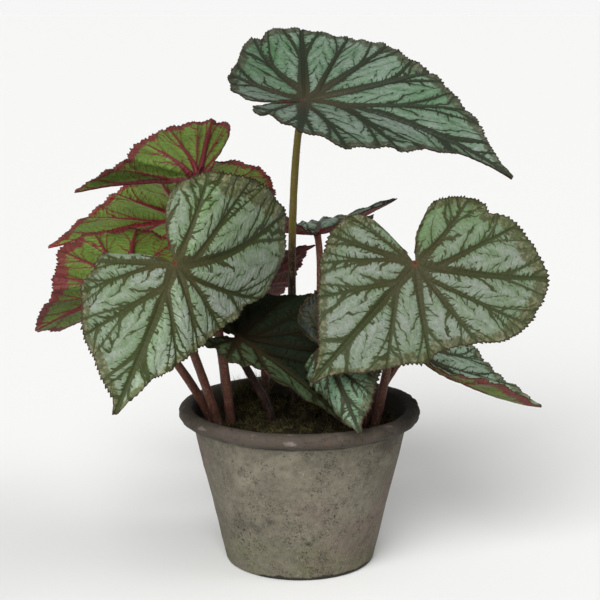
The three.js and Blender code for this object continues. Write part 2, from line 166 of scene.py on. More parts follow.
LEAVES = (
    LeafForm(
        "tall", (0.002, 0.015, 0.283), (0.122, -0.036, 0.243), (0.19, -0.29, 0.94),
        foot=(-0.003, 0.034, 0.074), lower=(-0.007, 0.076, 0.160), lead=0.040,
        bend=28, heel=-90, back=0.74, big=Half(11, 0, 12), small=Half(9, 0, -16), light=Light.COOL,
        under=Light.COOL, tone=(0.86, 0.74), shade=((-104, 0.8), (-70, 1), (130, 1), (165, 0.74)), veined=1.6,
        growth=(
            (-20, 1, 0), (10, 1, 0.1), (50, 2.5, 0.2), (120, 2, 0), (150, 2.5, 0.8), (185, 4, 0.3),
            (205, 1, 0.1), (217, -6, 0),
        ),
        margin=(
            (-104, 1.85), (-99, 1.12), (-91, 0.93), (-84, 0.84), (-66, 0.9), (-47, 1.05), (-27, 1),
            (-10, 0.95), (0, 1), (34, 1.02), (68, 0.96), (90, 0.96), (128, 0.98), (145, 1), (150, 0.93),
            (156, 0.99), (175, 0.89), (200, 0.89), (217, 0.95),
        ),
    ),
    LeafForm(
        "front_left", (-0.071, -0.061, 0.196), (-0.100, -0.114, 0.123), (0.35, -0.81, 0.47),
        foot=(-0.047, -0.007, 0.074), lower=(-0.058, -0.026, 0.130), lead=0.035,
        bend=25, heel=-50, back=1.15, width=0.97, big=Half(-30, -20), small=Half(0, -20),
        creases=(Crease(-65, -60, 0.05),), tone=(1.3, 1.0), veined=1.1,
        # From 138 to 160 degrees the wider band is partly the margin's own colour, partly painted shade where
        # the lobe curls back.
        growth=(
            (-104, 1, 0.3), (-60, 0.5, 0), (0, 1, 0.2), (30, 0, 0), (60, 2, 0.2), (90, 1.5, 0), (120, 1, 0),
            (138, 6, 0.3), (160, 8, 0.5), (180, 4, 0.8), (200, 1, 0.5), (217, 0, 0.4),
        ),
        margin=(
            (-104, 1), (-75, 0.76), (-61, 0.85), (-50, 1.02), (-30, 1.11), (-10, 1.08), (0, 1), (12, 0.89),
            (55, 0.9), (84, 0.83), (99, 0.87), (107, 1.1), (114, 1.17), (124, 1.12), (137, 1.04), (155, 0.99),
            (192, 1), (217, 1.15),
        ),
    ),
    LeafForm(
        "front_right", (0.066, -0.050, 0.194), (0.007, -0.086, 0.134), (0.13, -0.91, 0.39),
        foot=(0.043, -0.018, 0.074), lower=(0.052, -0.022, 0.120), lead=0.035,
        bend=20, heel=-15, small=Half(0, -10), tone=(0.82, 0.82), veined=1.1,
        growth=(
            (-104, 1, 0.3), (-85, 4, 0.3), (-70, 3, 0.1), (-50, 0, 0), (0, 1.5, 0.2), (60, 1, 0),
            (88, 3, 0.3), (110, 3.5, 0.1), (135, 5.5, 0.1), (155, 4, 0.6), (180, 2, 0.9), (217, 2, 0.7),
        ),
        margin=(
            (-104, 1.07), (-91, 0.92), (-63, 0.96), (-49, 1), (0, 1), (36, 1.02), (44, 1.04), (54, 0.96),
            (77, 0.94), (90, 1.01), (107, 0.99), (127, 1.04), (160, 1.06), (167, 0.98), (173, 1.06),
            (204, 1.05), (210, 0.87), (217, 0.9),
        ),
    ),
    LeafForm(
        "upper_left", (-0.063, 0.005, 0.237), (-0.137, 0.012, 0.230), (0.05, 0.59, 0.81),
        foot=(-0.042, 0.001, 0.074), lower=(-0.044, -0.044, 0.150), lead=0.025,
        bend=10, small=Half(35, 80), creases=(Crease(100, -25, 0.1), Crease(33, 125, 0.05)),
        lobe=Lobe(33, 30, 0.93, 95, 0.36), faint_veins=(9, 11, 12), tone=(0.88, 0.82), veined=1.4,
        margin=(
            (0, 1), (25, 0.97), (33, 0.93), (47, 0.95), (67, 1.06), (92, 1.08), (107, 1.01), (131, 1.01),
            (150, 1.19), (162, 1.21), (168, 1.12), (176, 0.79), (195, 0.5), (217, 0.6),
        ),
    ),
    LeafForm(
        "mid_left", (-0.076, 0.100, 0.200), (-0.168, 0.090, 0.183), (0.0, 0.58, 0.82),
        foot=(-0.045, 0.012, 0.074), lower=(-0.046, 0.014, 0.150), lead=0.025,
        bend=10, heel=20, under=Light.LIT, tone=(1.16, 1.16), veined=1.3,
        growth=((-9, 0, 0), (-3, 4, 0), (3, 4, 0), (9, 0, 0)),
        margin=((0, 1), (19, 1.05), (58, 1.08), (75, 1)),
    ),
    LeafForm(
        "low_left", (-0.102, -0.012, 0.172), (-0.167, 0.014, 0.142), (-0.1, 0.63, 0.77),
        foot=(-0.050, 0.003, 0.074), lower=(-0.066, -0.008, 0.125), lead=0.022,
        bend=10, creases=(Crease(35, 120, 0.05),), veined=1.3,
        growth=((-20, 0, 0), (0, 1.5, 0), (30, 3, 0), (75, 3.5, 0), (100, 1, 0), (217, 0, 0)),
        margin=(
            (-104, 1), (-25, 0.97), (-11, 1.17), (-5, 1.13), (0, 0.96), (5, 1), (28, 0.94), (66, 1.07),
            (80, 1.15), (92, 1.06), (110, 0.98), (140, 1.03), (217, 1),
        ),
    ),
    LeafForm(
        "centre", (-0.037, -0.017, 0.144), (0.030, -0.062, 0.102), (0.27, -0.53, 0.8),
        foot=(-0.015, 0.0, 0.074), lower=(-0.018, -0.006, 0.110), lead=0.022,
        bend=10, back=0.8, width=0.88, big=Half(-2, 0, 45), small=Half(26),
        lobe=Lobe(20, -22, 1.06, spread=45), light=Light.SHADED, under=Light.SHADED, tone=(0.3, 1.8),
        margin=(
            (-104, 1.2), (-95, 0.9), (-80, 0.66), (-56, 0.76), (-45, 0.7), (-30, 0.7), (-22, 0.86),
            (-9, 0.94), (0, 1),
        ),
    ),
    LeafForm(
        "centre_low", (0.014, -0.058, 0.147), (0.034, -0.084, 0.103), (-0.21, -0.7, 0.69),
        foot=(0.034, -0.020, 0.074), lower=(0.047, -0.058, 0.115), lead=0.020,
        bend=20, width=0.9, big=Half(0, -10), small=Half(-60, -30), light=Light.LIT,
        tone=(0.53, 0.53), shade=((110, 1), (145, 0.08)), growth=((0, 0, 0.85),),
        margin=((0, 1), (20, 1.07), (44, 1.1), (70, 1.05), (120, 1)),
    ),
    LeafForm(
        "right_low", (0.066, -0.008, 0.138), (0.143, -0.036, 0.105), (0.0, -0.11, 0.99),
        foot=(0.038, -0.009, 0.074), lower=(0.044, -0.010, 0.110), lead=0.018,
        bend=-36, heel=20, small=Half(10, 0, 57, 0.32), light=Light.LIT, tone=(1.12, 1.12),
        growth=((-40, 1, 0), (-8, 4.5, 0), (0, 5, 0), (8, 1, 0), (217, 0, 0)),
        margin=(
            (-60, 1), (-25, 1.13), (-10, 1.13), (0, 1), (20, 1.07), (40, 1.13), (60, 1.14), (90, 1.05),
            (120, 1),
        ),
    ),
    LeafForm(
        "back_right", (0.011, 0.072, 0.194), (0.065, 0.117, 0.210), (-0.05, 0.04, 1.0),
        foot=(0.008, 0.030, 0.074), lower=(0.013, 0.074, 0.130), lead=0.020,
        bend=-10, heel=-240, back=0.75, small=Half(15, 0, 6), lobe=Lobe(40, 0, 0.66), light=Light.COOL,
        under=Light.SHADED, tone=(1.25, 1.25),
        margin=((-104, 1), (-60, 0.95), (-30, 0.62), (-8, 0.62), (0, 1)),
    ),
    LeafForm(
        "back_centre", (-0.032, 0.084, 0.155), (0.010, 0.076, 0.184), (-0.44, 0.61, 0.65),
        foot=(-0.022, 0.032, 0.074), lower=(-0.022, 0.070, 0.120), lead=0.012,
        bend=20, heel=20, light=Light.SHADED, under=Light.SHADED,
    ),
)


@dataclass(frozen=True)
class Vein:
    """A main vein: its angle by the stalk and at the margin, where it forks off, and its strength."""

    start: float
    end: float
    leaves_at: float = 0.0
    strength: float = 1.0


class LeafPlan:
    """The flat leaf that all leaves share: its outline and where its veins run.

    Angles are measured at the stalk from the tip towards the large lobe, and reach in lengths of the tip.
    """

    FAINT = 0.25
    # Angle and reach of the outline's points.
    OUTLINE = (
        (-104, 0.1), (-99, 0.3), (-92, 0.48), (-82, 0.55), (-66, 0.585), (-48, 0.6), (-29, 0.655),
        (-12, 0.79), (0, 1.0), (11, 0.83), (24, 0.69), (40, 0.62), (58, 0.6), (78, 0.66), (98, 0.775),
        (116, 0.845), (134, 0.82), (152, 0.71), (172, 0.6), (190, 0.51), (203, 0.42), (212, 0.28),
        (217, 0.1),
    )
    # The first and last are the two edges of the notch, without a vein.
    VEINS = (
        Vein(-104, -104, 0.0, 0.3), Vein(-86, -86, 0.0, 0.5), Vein(-64, -66, 0.0, 1.0),
        Vein(-59, -48, 0.2, 0.65), Vein(-4, -28, 0.26, 0.8), Vein(0, 0, 0.0, 1.4), Vein(4, 24, 0.3, 0.75),
        Vein(44, 48, 0.0, 1.1), Vein(76, 78, 0.0, 0.9), Vein(82, 104, 0.16, 0.8),
        Vein(122, 128, 0.0, 1.15), Vein(128, 154, 0.2, 0.8), Vein(172, 182, 0.0, 0.8),
        Vein(217, 217, 0.0, 0.3),
    )

    def __init__(self) -> None:
        """Works out the outline's tangents, with a corner at the tip, and gathers the veins' courses."""
        self._angles = np.array([angle for angle, _ in self.OUTLINE], float)
        self._reaches = np.array([reach for _, reach in self.OUTLINE], float)
        gaps = np.diff(self._angles)
        slopes = np.diff(self._reaches) / gaps
        inner = (slopes[:-1] * gaps[1:] + slopes[1:] * gaps[:-1]) / (gaps[:-1] + gaps[1:])
        self._leaving = np.concatenate([slopes[:1], inner, slopes[-1:]])
        self._arriving = self._leaving.copy()
        tip = int(np.argmax(self._reaches))
        self._arriving[tip] = slopes[tip - 1]
        self._leaving[tip] = slopes[tip]
        self._courses = np.array([(vein.start, vein.end, vein.leaves_at) for vein in self.VEINS])

    def reach(self, angle: Array) -> Array:
        """Gives the outline's reach.

        Args:
            angle: Angles on the flat leaf.

        Returns:
            The reach at each angle, in lengths of the tip.
        """
        i = np.clip(np.searchsorted(self._angles, angle, side="right") - 1, 0, len(self._angles) - 2)
        gap = self._angles[i + 1] - self._angles[i]
        t = np.clip((angle - self._angles[i]) / gap, 0, 1)
        return (
            (2 * t**3 - 3 * t**2 + 1) * self._reaches[i]
            + (t**3 - 2 * t**2 + t) * gap * self._leaving[i]
            + (3 * t**2 - 2 * t**3) * self._reaches[i + 1]
            + (t**3 - t**2) * gap * self._arriving[i + 1]
        )

    def angle(self, vein: Array, out: Array) -> Array:
        """Gives the angle of a point that is placed by the veins.

        Args:
            vein: Place across the veins: whole numbers lie on a vein.
            out: Share of the way from the stalk to the margin.

        Returns:
            The angle on the flat leaf.
        """
        before = np.clip(np.floor(vein).astype(int), 0, len(self.VEINS) - 2)
        between = vein - before
        low, high = self._vein_angle(before, out), self._vein_angle(before + 1, out)
        return (1 - between) * low + between * high

    def _vein_angle(self, number: Array, out: Array) -> Array:
        """Gives the angle of numbered veins at a share of the way to the margin.

        Args:
            number: The veins' numbers.
            out: Share of the way from the stalk to the margin.

        Returns:
            The angle of each.
        """
        start, end, leaves_at = self._courses[number].T
        free = np.clip(out - leaves_at, 0, 1) / ((1 - leaves_at) * np.maximum(out, 1e-6))
        return start + (end - start) * np.where(leaves_at > 0, free, np.clip(out, 0, 1))

    def end_angle(self, vein: Array) -> Array:
        """Gives the angle at which a place across the veins meets the margin."""
        return np.interp(vein, np.arange(len(self.VEINS)), [vein.end for vein in self.VEINS])

    def strength(self, vein: Array, faint: tuple[int, ...]) -> Array:
        """Gives the strength of the nearest vein.

        Args:
            vein: Place across the veins.
            faint: Numbers of the veins that hardly show.

        Returns:
            The strength at each place.
        """
        shown = (self.FAINT if number in faint else 1 for number in range(len(self.VEINS)))
        strengths = np.array([vein.strength * share for vein, share in zip(self.VEINS, shown)])
        return strengths[np.round(vein).astype(int)]


PLAN = LeafPlan()
PANELS = len(LeafPlan.VEINS) - 1


class LeafSheet:
    """The bent sheet of one leaf, from places on the flat leaf to places in the row frame."""

    # How round the fold at the midrib is, in lengths of the leaf, and the steps that follow a profile.
    FOLD_WIDTH = 0.08
    FOLD_STEPS = 12
    # The least bend that the arch's formula can take, in radians.
    LEAST_BEND = 1e-6

    def __init__(self, form: LeafForm) -> None:
        """Works out the leaf's own axes and the length of its arched midrib.

        Args:
            form: The leaf's numbers.
        """
        self.form = form
        self.joint = Vector(form.joint)
        to_tip = Vector(form.tip) - self.joint
        chord = to_tip.length
        self.along = to_tip.normalized()
        facing = Vector(form.faces)
        self.up = (facing - self.along * facing.dot(self.along)).normalized()
        self.aside = self.up.cross(self.along)
        half = math.radians(form.bend) / 2
        self.length = chord * half / math.sin(half)

    def _profile(
        self, distance: Array, fold: Array | float, curl: Array | float, roundness: float
    ) -> tuple[Array, Array, Array]:
        """Follows a sheet away from a fold line.

        Args:
            distance: Distance from the line along the sheet.
            fold: Angle that the sheet rises by near the line, in radians.
            curl: Further angle for each length of the leaf, in radians.
            roundness: Distance over which the fold is rounded.

        Returns:
            The place across, the height and the slope.
        """
        across = np.zeros_like(distance)
        rise = np.zeros_like(distance)
        for step in range(self.FOLD_STEPS):
            place = distance * (step + 0.5) / self.FOLD_STEPS
            slope = fold * (1 - np.exp(-place / roundness)) + curl * place
            across += np.cos(slope) * distance / self.FOLD_STEPS
            rise += np.sin(slope) * distance / self.FOLD_STEPS
        return across, rise, fold * (1 - np.exp(-distance / roundness)) + curl * distance

    def gathered(self, angle: Array) -> Array:
        """Gives the angle at which a point lies once the large lobe is fanned and gathered.

        Args:
            angle: Angles on the shared flat leaf.

        Returns:
            Angles on this leaf.
        """
        lobe = self.form.lobe
        if not lobe:
            return angle
        gathered = (1 - lobe.keep) * np.maximum(angle - lobe.gather_from, 0)
        return angle + lobe.fan * self._in_lobe(angle) - gathered

    def _in_lobe(self, angle: Array) -> Array:
        """Gives how far a point belongs to the large lobe, from 0 to 1."""
        return smoothstep(self.form.lobe.start, self.form.lobe.start + self.form.lobe.spread, angle)

    def flat(self, angle: Array, reach: Array) -> tuple[Array, Array]:
        """Places points on the flat leaf, with its large lobe fanned, gathered and shrunk.

        Args:
            angle: Angles on the shared flat leaf.
            reach: Reach, in lengths of the tip.

        Returns:
            The places along and across the midrib, in lengths of the tip.
        """
        form = self.form
        if form.lobe:
            reach = reach * (1 + (form.lobe.shrink - 1) * self._in_lobe(angle))
        turn = np.radians(self.gathered(angle))
        a = reach * np.cos(turn)
        b = reach * np.sin(turn) * form.width
        return np.where(a < 0, a * form.back, a), b

    def margin(self, angle: Array) -> Array:
        """Gives how far out this leaf's margin is, against the shared outline.

        Args:
            angle: Angles on the shared flat leaf.

        Returns:
            The share at each angle.
        """
        stops = np.array(self.form.margin, float)
        i = np.clip(np.searchsorted(stops[:, 0], angle, side="left"), 1, len(stops) - 1)
        t = np.clip((angle - stops[i - 1, 0]) / (stops[i, 0] - stops[i - 1, 0]), 0, 1)
        return stops[i - 1, 1] + (stops[i, 1] - stops[i - 1, 1]) * t * t * (3 - 2 * t)

    def points(self, angle: Array, reach: Array, height: Array) -> Array:
        """Places points of the leaf.

        Args:
            angle: Angles on the flat leaf.
            reach: Reach, in lengths of the tip.
            height: Height over the middle of the blade, in metres.

        Returns:
            An array of points in the row frame.
        """
        form = self.form
        a, b = self.flat(angle, reach)
        is_big = angle >= 0
        h = height / self.length
        for crease in form.creases:
            side = 1 if crease.angle >= 0 else -1
            ex = math.cos(math.radians(crease.angle))
            ey = math.sin(math.radians(crease.angle))
            t = a * ex + b * ey
            d = side * (b * ex - a * ey)
            folded = (d > 0) & (is_big == (side > 0))
            across, rise, slope = self._profile(
                np.where(folded, d, 0), math.radians(crease.fold), 0.0, crease.roundness
            )
            d = np.where(folded, across - h * np.sin(slope), d)
            h = np.where(folded, rise + h * np.cos(slope), h)
            a = t * ex - side * d * ey
            b = t * ey + side * d * ex
        side = np.where(is_big, 1.0, -1.0)
        big, small = form.big, form.small
        fold = np.where(
            is_big,
            big.rise + big.turn * np.maximum(a, big.turn_from),
            small.rise + small.turn * np.maximum(a, small.turn_from),
        )
        curl = np.radians(np.where(is_big, big.curl, small.curl))
        across, rise, slope = self._profile(np.maximum(side * b, 0), np.radians(fold), curl, self.FOLD_WIDTH)
        y = side * (across - h * np.sin(slope) + np.minimum(side * b, 0))
        z = rise + h * np.cos(slope)
        bend = math.radians(form.bend)
        turned = np.where(a >= 0, bend, math.radians(form.heel))
        turned = np.where(np.abs(turned) < self.LEAST_BEND, self.LEAST_BEND, turned)
        slope = bend / 2 - turned * a
        x = (math.sin(bend / 2) - np.sin(slope)) / turned - z * np.sin(slope)
        up = (np.cos(slope) - math.cos(bend / 2)) / turned + z * np.cos(slope)
        local = np.stack([x, y, up], axis=-1) * self.length
        axes = np.array([self.along, self.aside, self.up])
        return np.array(self.joint) + local @ axes


# Materials


class Value:
    """What a socket gives: a number, a colour or a place. Arithmetic on a number adds Math nodes."""

    def __init__(self, nodes: "Nodes", socket: NodeSocket) -> None:
        """Keeps the nodes that it belongs to, and its socket."""
        self.nodes = nodes
        self.socket = socket

    def __add__(self, other: "Value | float") -> "Value":
        """Adds a number."""
        return self.nodes.math("ADD", self, other)

    def __sub__(self, other: "Value | float") -> "Value":
        """Takes a number away."""
        return self.nodes.math("SUBTRACT", self, other)

    def __rsub__(self, other: float) -> "Value":
        """Takes this away from a number."""
        return self.nodes.math("SUBTRACT", other, self)

    def __mul__(self, other: "Value | float") -> "Value":
        """Multiplies by a number."""
        return self.nodes.math("MULTIPLY", self, other)

    def __truediv__(self, other: "Value | float") -> "Value":
        """Divides by a number."""
        return self.nodes.math("DIVIDE", self, other)

    def __abs__(self) -> "Value":
        """Gives its distance from zero."""
        return self.nodes.math("ABSOLUTE", self)


class Nodes:
    """Adds and links the nodes of one material or node group."""

    def __init__(self, tree: NodeTree) -> None:
        """Keeps the tree that the nodes go into."""
        self.tree = tree

    def add(self, kind: str, inputs: Feeds | None = None, **settings: object) -> Node:
        """Adds a node.

        Args:
            kind: Node type.
            inputs: What feeds its inputs, by name or number.
            settings: Properties of the node.

        Returns:
            The node.
        """
        node = self.tree.nodes.new(kind)
        for name, value in settings.items():
            setattr(node, name, value)
        for key, value in (inputs or {}).items():
            self.feed(node.inputs[key], value)
        return node

    def value(
        self, kind: str, inputs: Feeds | None = None, output: str | int = 0, **settings: object
    ) -> Value:
        """Adds a node and gives one of its outputs."""
        return Value(self, self.add(kind, inputs, **settings).outputs[output])

    def feed(self, target: NodeSocket, value: object) -> None:
        """Links a value to an input, or sets the input's own value.

        Args:
            target: The input.
            value: A value of the same nodes, or a plain number, colour or vector.
        """
        if isinstance(value, Value):
            self.tree.links.new(value.socket, target)
        elif isinstance(value, tuple) and target.type == "RGBA":
            target.default_value = (*value, 1.0)
        else:
            target.default_value = value

    def math(self, operation: str, a: object, b: object = 0.0, c: object = 0.0) -> Value:
        """Adds a Math node and gives its result."""
        return self.value("ShaderNodeMath", {0: a, 1: b, 2: c}, operation=operation)

    def ease(self, value: Value, low: float | Value, high: float | Value) -> Value:
        """Rises smoothly from 0 at low to 1 at high, or falls where high is the lower one."""
        inputs = {"Value": value, "From Min": low, "From Max": high}
        return self.value("ShaderNodeMapRange", inputs, "Result", interpolation_type="SMOOTHSTEP")

    def blend(self, share: object, a: object, b: object, how: str = "MIX") -> Value:
        """Mixes two colours."""
        return self.value("ShaderNodeMix", {0: share, 6: a, 7: b}, 2, data_type="RGBA", blend_type=how)

    def noise(self, place: Value, scale: float | Value, detail: float = 2.0, roughness: float = 0.5) -> Value:
        """Adds a noise texture and gives its value."""
        inputs = {"Vector": place, "Scale": scale, "Detail": detail, "Roughness": roughness}
        return self.value("ShaderNodeTexNoise", inputs, "Fac")

    def scaled(self, place: Value, factors: Point) -> Value:
        """Scales a place along its three axes."""
        return self.value("ShaderNodeMapping", {"Vector": place, "Scale": factors}, "Vector")

    def join(self, x: Value, y: Value, z: Value | float = 0.0) -> Value:
        """Joins three numbers into a place."""
        return self.value("ShaderNodeCombineXYZ", {0: x, 1: y, 2: z})

    def split(self, place: Value) -> tuple[Value, ...]:
        """Splits a place into its three numbers."""
        return tuple(Value(self, socket) for socket in self.add("ShaderNodeSeparateXYZ", {0: place}).outputs)

    def length(self, x: Value, y: Value) -> Value:
        """Gives how far a place in a plane is from the middle."""
        return self.value("ShaderNodeVectorMath", {0: self.join(x, y)}, "Value", operation="LENGTH")

    def group(self, group: NodeTree, inputs: dict[str, object]) -> dict[str, Value]:
        """Places a node group, feeds its inputs and gives its outputs by name."""
        node = self.add("ShaderNodeGroup", inputs, node_tree=group)
        return {socket.name: Value(self, socket) for socket in node.outputs}


class EffectGroup:
    """A node group with named inputs and outputs, while it is built."""

    def __init__(self, name: str, inputs: dict[str, float | None], outputs: tuple[str, ...]) -> None:
        """Opens the group.

        Args:
            name: The group's name.
            inputs: Each input's name and default, or None where it takes a place.
            outputs: The outputs' names. All of them are numbers.
        """
        self.tree = bpy.data.node_groups.new(name, "ShaderNodeTree")
        for socket, default in inputs.items():
            kind = "NodeSocketVector" if default is None else "NodeSocketFloat"
            made = self.tree.interface.new_socket(name=socket, in_out="INPUT", socket_type=kind)
            if default is not None:
                made.default_value = default
        for socket in outputs:
            self.tree.interface.new_socket(name=socket, in_out="OUTPUT", socket_type="NodeSocketFloat")
        self.nodes = Nodes(self.tree)
        taken = self.nodes.add("NodeGroupInput").outputs
        self.given = {name: Value(self.nodes, taken[name]) for name in inputs}
        self.ends = self.nodes.add("NodeGroupOutput").inputs

    def close(self, results: dict[str, Value]) -> NodeTree:
        """Feeds the results to the group's outputs.

        Args:
            results: Each output's name and what it gives.

        Returns:
            The finished group.
        """
        for name, value in results.items():
            self.nodes.feed(self.ends[name], value)
        return self.tree


class VeinPattern:
    """The node group of a leaf's veins and margin. Its lengths are in millimetres on the flat leaf."""

    INPUTS = {"Width": 1.0, "Side Width": 1.0, "Side Length": 1.0, "Feather": 1.0, "Margin Width": 3.2}
    OUTPUTS = ("Veins", "Sides", "Halo", "Margin", "Edge", "Heart", "Outward", "Relief", "Painted Light", "Green")
    # A main vein's half width by the stalk, its loss on the way out, and its gain where all veins flow
    # together, between two distances from the stalk.
    VEIN_HALF = 3.2
    VEIN_LOSS = 2.3
    ROOT_GAIN = 1.7
    ROOT_SPAN = (17.0, 3.0)
    # A fork starts at a varying share of the way out, and its arms spread by a share of the gap between
    # two veins. They have a share of the vein's width.
    FORK_START = 0.38
    FORK_START_RANGE = 0.25
    FORK_END = 1.1
    FORK_SPREAD = 0.36
    FORK_WIDTH = 0.6
    FORK_FUSING = 0.8
    # Branches and fine side veins: the distance between two, their slant and how far they wander.
    BRANCH_SPACING = 15.0
    BRANCH_SLANT = 1.5
    BRANCH_WANDER = 16.0
    SIDE_SPACING = 3.6
    SIDE_SLANT = 0.4
    SIDE_WANDER = 6.0
    # How far the lines on a vein's two sides are apart, in spacings.
    SIDE_SHIFT = 0.44
    SPIKE_LENGTH = 2.5
    GRAIN_DEPTH = 1.3
    EDGE_SOFTNESS = (0.35, -0.25)
    HALO_REACH = 4.0
    MARGIN_SOFTNESS = 1.1
    # How deep small and broad noise bite into the margin's band.
    BITES = (10.0, 12.0)

    def __init__(self) -> None:
        """Reads the leaf's attributes, and draws the whole pattern from them."""
        group = EffectGroup("leaf veins", self.INPUTS, self.OUTPUTS)
        n = self.nodes = group.nodes
        self.given = group.given
        veins, plane, nature, growth = (
            n.split(n.value("ShaderNodeAttribute", output="Vector", attribute_name=name))
            for name in ("veins", "plane", "nature", "growth")
        )
        self.across, self.out, self.gap = veins
        self.rim = plane[2]
        # The third value is the painted light and shade of each place.
        self.strength, self.seed, tone = nature
        self.spot = n.join(plane[0], plane[1], self.seed)
        self.from_joint = n.length(plane[0], plane[1])
        self.side = n.math("FLOOR", self.across * 2.0)
        self.wobble = n.noise(self.spot, 0.09) - 0.5
        self.grain = (n.noise(self.spot, 1.4, 3.0, 0.7) - 0.5) * self.GRAIN_DEPTH
        self.nearest = n.math("ROUND", self.across)
        self.off = n.math("MAXIMUM", abs(self.across - self.nearest), 0.01)

        half, beyond = self._main_veins()
        wander = self.wobble * self.SIDE_WANDER
        along, number, side_gap = self._repeated(wander, self.SIDE_SPACING, self.SIDE_SLANT)
        beyond, mask = self._branches(beyond, self._ragged(along))
        relief = n.ease(beyond, -1.5, 1.5) * 0.4 + n.ease(side_gap, 0.0, 0.9) * 0.2
        results = (
            mask, self._side_veins(number, side_gap, half), n.ease(beyond, self.HALO_REACH, 0.0),
            self._margin(growth[0]), n.ease(self.rim, 1.0, 0.3), n.ease(self.from_joint, 3.2, 1.0),
            n.ease(self.from_joint, 8.0, 52.0), relief, tone, growth[1],
        )
        self.tree = group.close(dict(zip(self.OUTPUTS, results)))

    def _main_veins(self) -> tuple[Value, Value]:
        """Draws the main veins, which fork on their way out and flow together round the stalk.

        Returns:
            Their half width, and the distance from their edges.
        """
        n = self.nodes
        fork_from = self._chance(self.nearest, self.seed, 0.0) * self.FORK_START_RANGE + self.FORK_START
        fork = n.ease(self.out, fork_from, self.FORK_END) * self.FORK_SPREAD
        fork_gap = abs(self.off - fork) * (self.gap / self.off)
        half = (self.VEIN_HALF - self.out * self.VEIN_LOSS) * self.strength
        half = (half + n.ease(self.from_joint, *self.ROOT_SPAN) * self.ROOT_GAIN) * self.given["Width"]
        fork_beyond = fork_gap - half * self.FORK_WIDTH
        return half, n.math("SMOOTH_MIN", self.gap - half, fork_beyond, self.FORK_FUSING)

    def _ragged(self, along: Value) -> Value:
        """Gives how far the veins' edges are pushed out, by thin spikes and by fine grain.

        Args:
            along: Place along the veins.

        Returns:
            The distance.
        """
        n = self.nodes
        drawn_out = n.join(along, self.gap * 0.24, self.side)
        spikes = n.ease(n.noise(drawn_out, 0.66, 1.0), 0.52, 0.74) * self.SPIKE_LENGTH
        return (spikes + self.grain) * self.given["Feather"]

    def _branches(self, beyond: Value, ragged: Value) -> tuple[Value, Value]:
        """Adds branches, which leave the main veins at a slant and thin out. Some of them are missing.

        Args:
            beyond: Distance from the edges of the main veins.
            ragged: How far the edges are pushed out.

        Returns:
            The distance from the edges of all these veins, and the veins' mask.
        """
        n = self.nodes
        wander = self.wobble * self.BRANCH_WANDER
        _, number, gap = self._repeated(wander, self.BRANCH_SPACING, self.BRANCH_SLANT)
        half = (self._chance(number, self.side, 1.0) * 1.3 - 0.15) * (1.2 - self.off * 1.9)
        gap = gap - half * self.given["Width"]
        worn = n.math("SMOOTH_MIN", beyond - ragged, gap - ragged * 0.45, 0.5)
        return n.math("SMOOTH_MIN", beyond, gap, 0.6), n.ease(worn, *self.EDGE_SOFTNESS)

    def _side_veins(self, number: Value, gap: Value, main_half: Value) -> Value:
        """Draws short fine veins on both sides of the larger ones, of which a few run further.

        Args:
            number: Number of the nearest side vein.
            gap: Distance from it.
            main_half: Half width of the main vein that it stands on.

        Returns:
            The side veins' mask.
        """
        n = self.nodes
        length = n.math("POWER", self._chance(number, self.side, 3.0), 2.5) * 9.0 + 1.6
        length = length * self.given["Side Length"]
        lasting = n.ease(self.gap - main_half, length, length * 0.3)
        half = (self._chance(number, self.side, 2.0) * 0.44 - 0.04) * lasting * self.given["Side Width"]
        return n.ease(gap - self.grain * 0.25, half + 0.18, half - 0.12) * n.ease(half, 0.03, 0.14)

    def _margin(self, growth: Value) -> Value:
        """Draws the band along the margin, which noise bites into.

        Args:
            growth: How much wider than usual the band is.

        Returns:
            The band's mask.
        """
        n = self.nodes
        small, broad = self.BITES
        bites = (n.noise(self.spot, 0.3, 3.0, 0.65) - 0.5) * small
        bites = bites + (n.noise(self.spot, 0.05, 1.0) - 0.5) * broad
        wide = self.given["Margin Width"] + growth
        return n.ease(self.rim + bites, wide + self.MARGIN_SOFTNESS, wide - self.MARGIN_SOFTNESS)

    def _chance(self, number: Value, row: Value, choice: float) -> Value:
        """Gives a random share that stays the same for a number, a row and a choice."""
        place = self.nodes.join(number, row, choice)
        return self.nodes.value("ShaderNodeTexWhiteNoise", {"Vector": place}, "Value")

    def _repeated(self, push: Value, spacing: float, slant: float) -> tuple[Value, Value, Value]:
        """Lays slanted lines at even steps along both sides of the main veins.

        Args:
            push: Shift of the lines, so that they wander.
            spacing: Distance between lines.
            slant: How far a line runs outwards, for each unit away from the vein.

        Returns:
            The place along the vein, the line's number and the distance from it.
        """
        n = self.nodes
        along = self.from_joint - self.gap * slant + push + self.side * (self.SIDE_SHIFT * spacing)
        steps = along / spacing
        number = n.math("FLOOR", steps)
        return along, number, abs(steps - number - 0.5) * (spacing / math.hypot(1.0, slant))


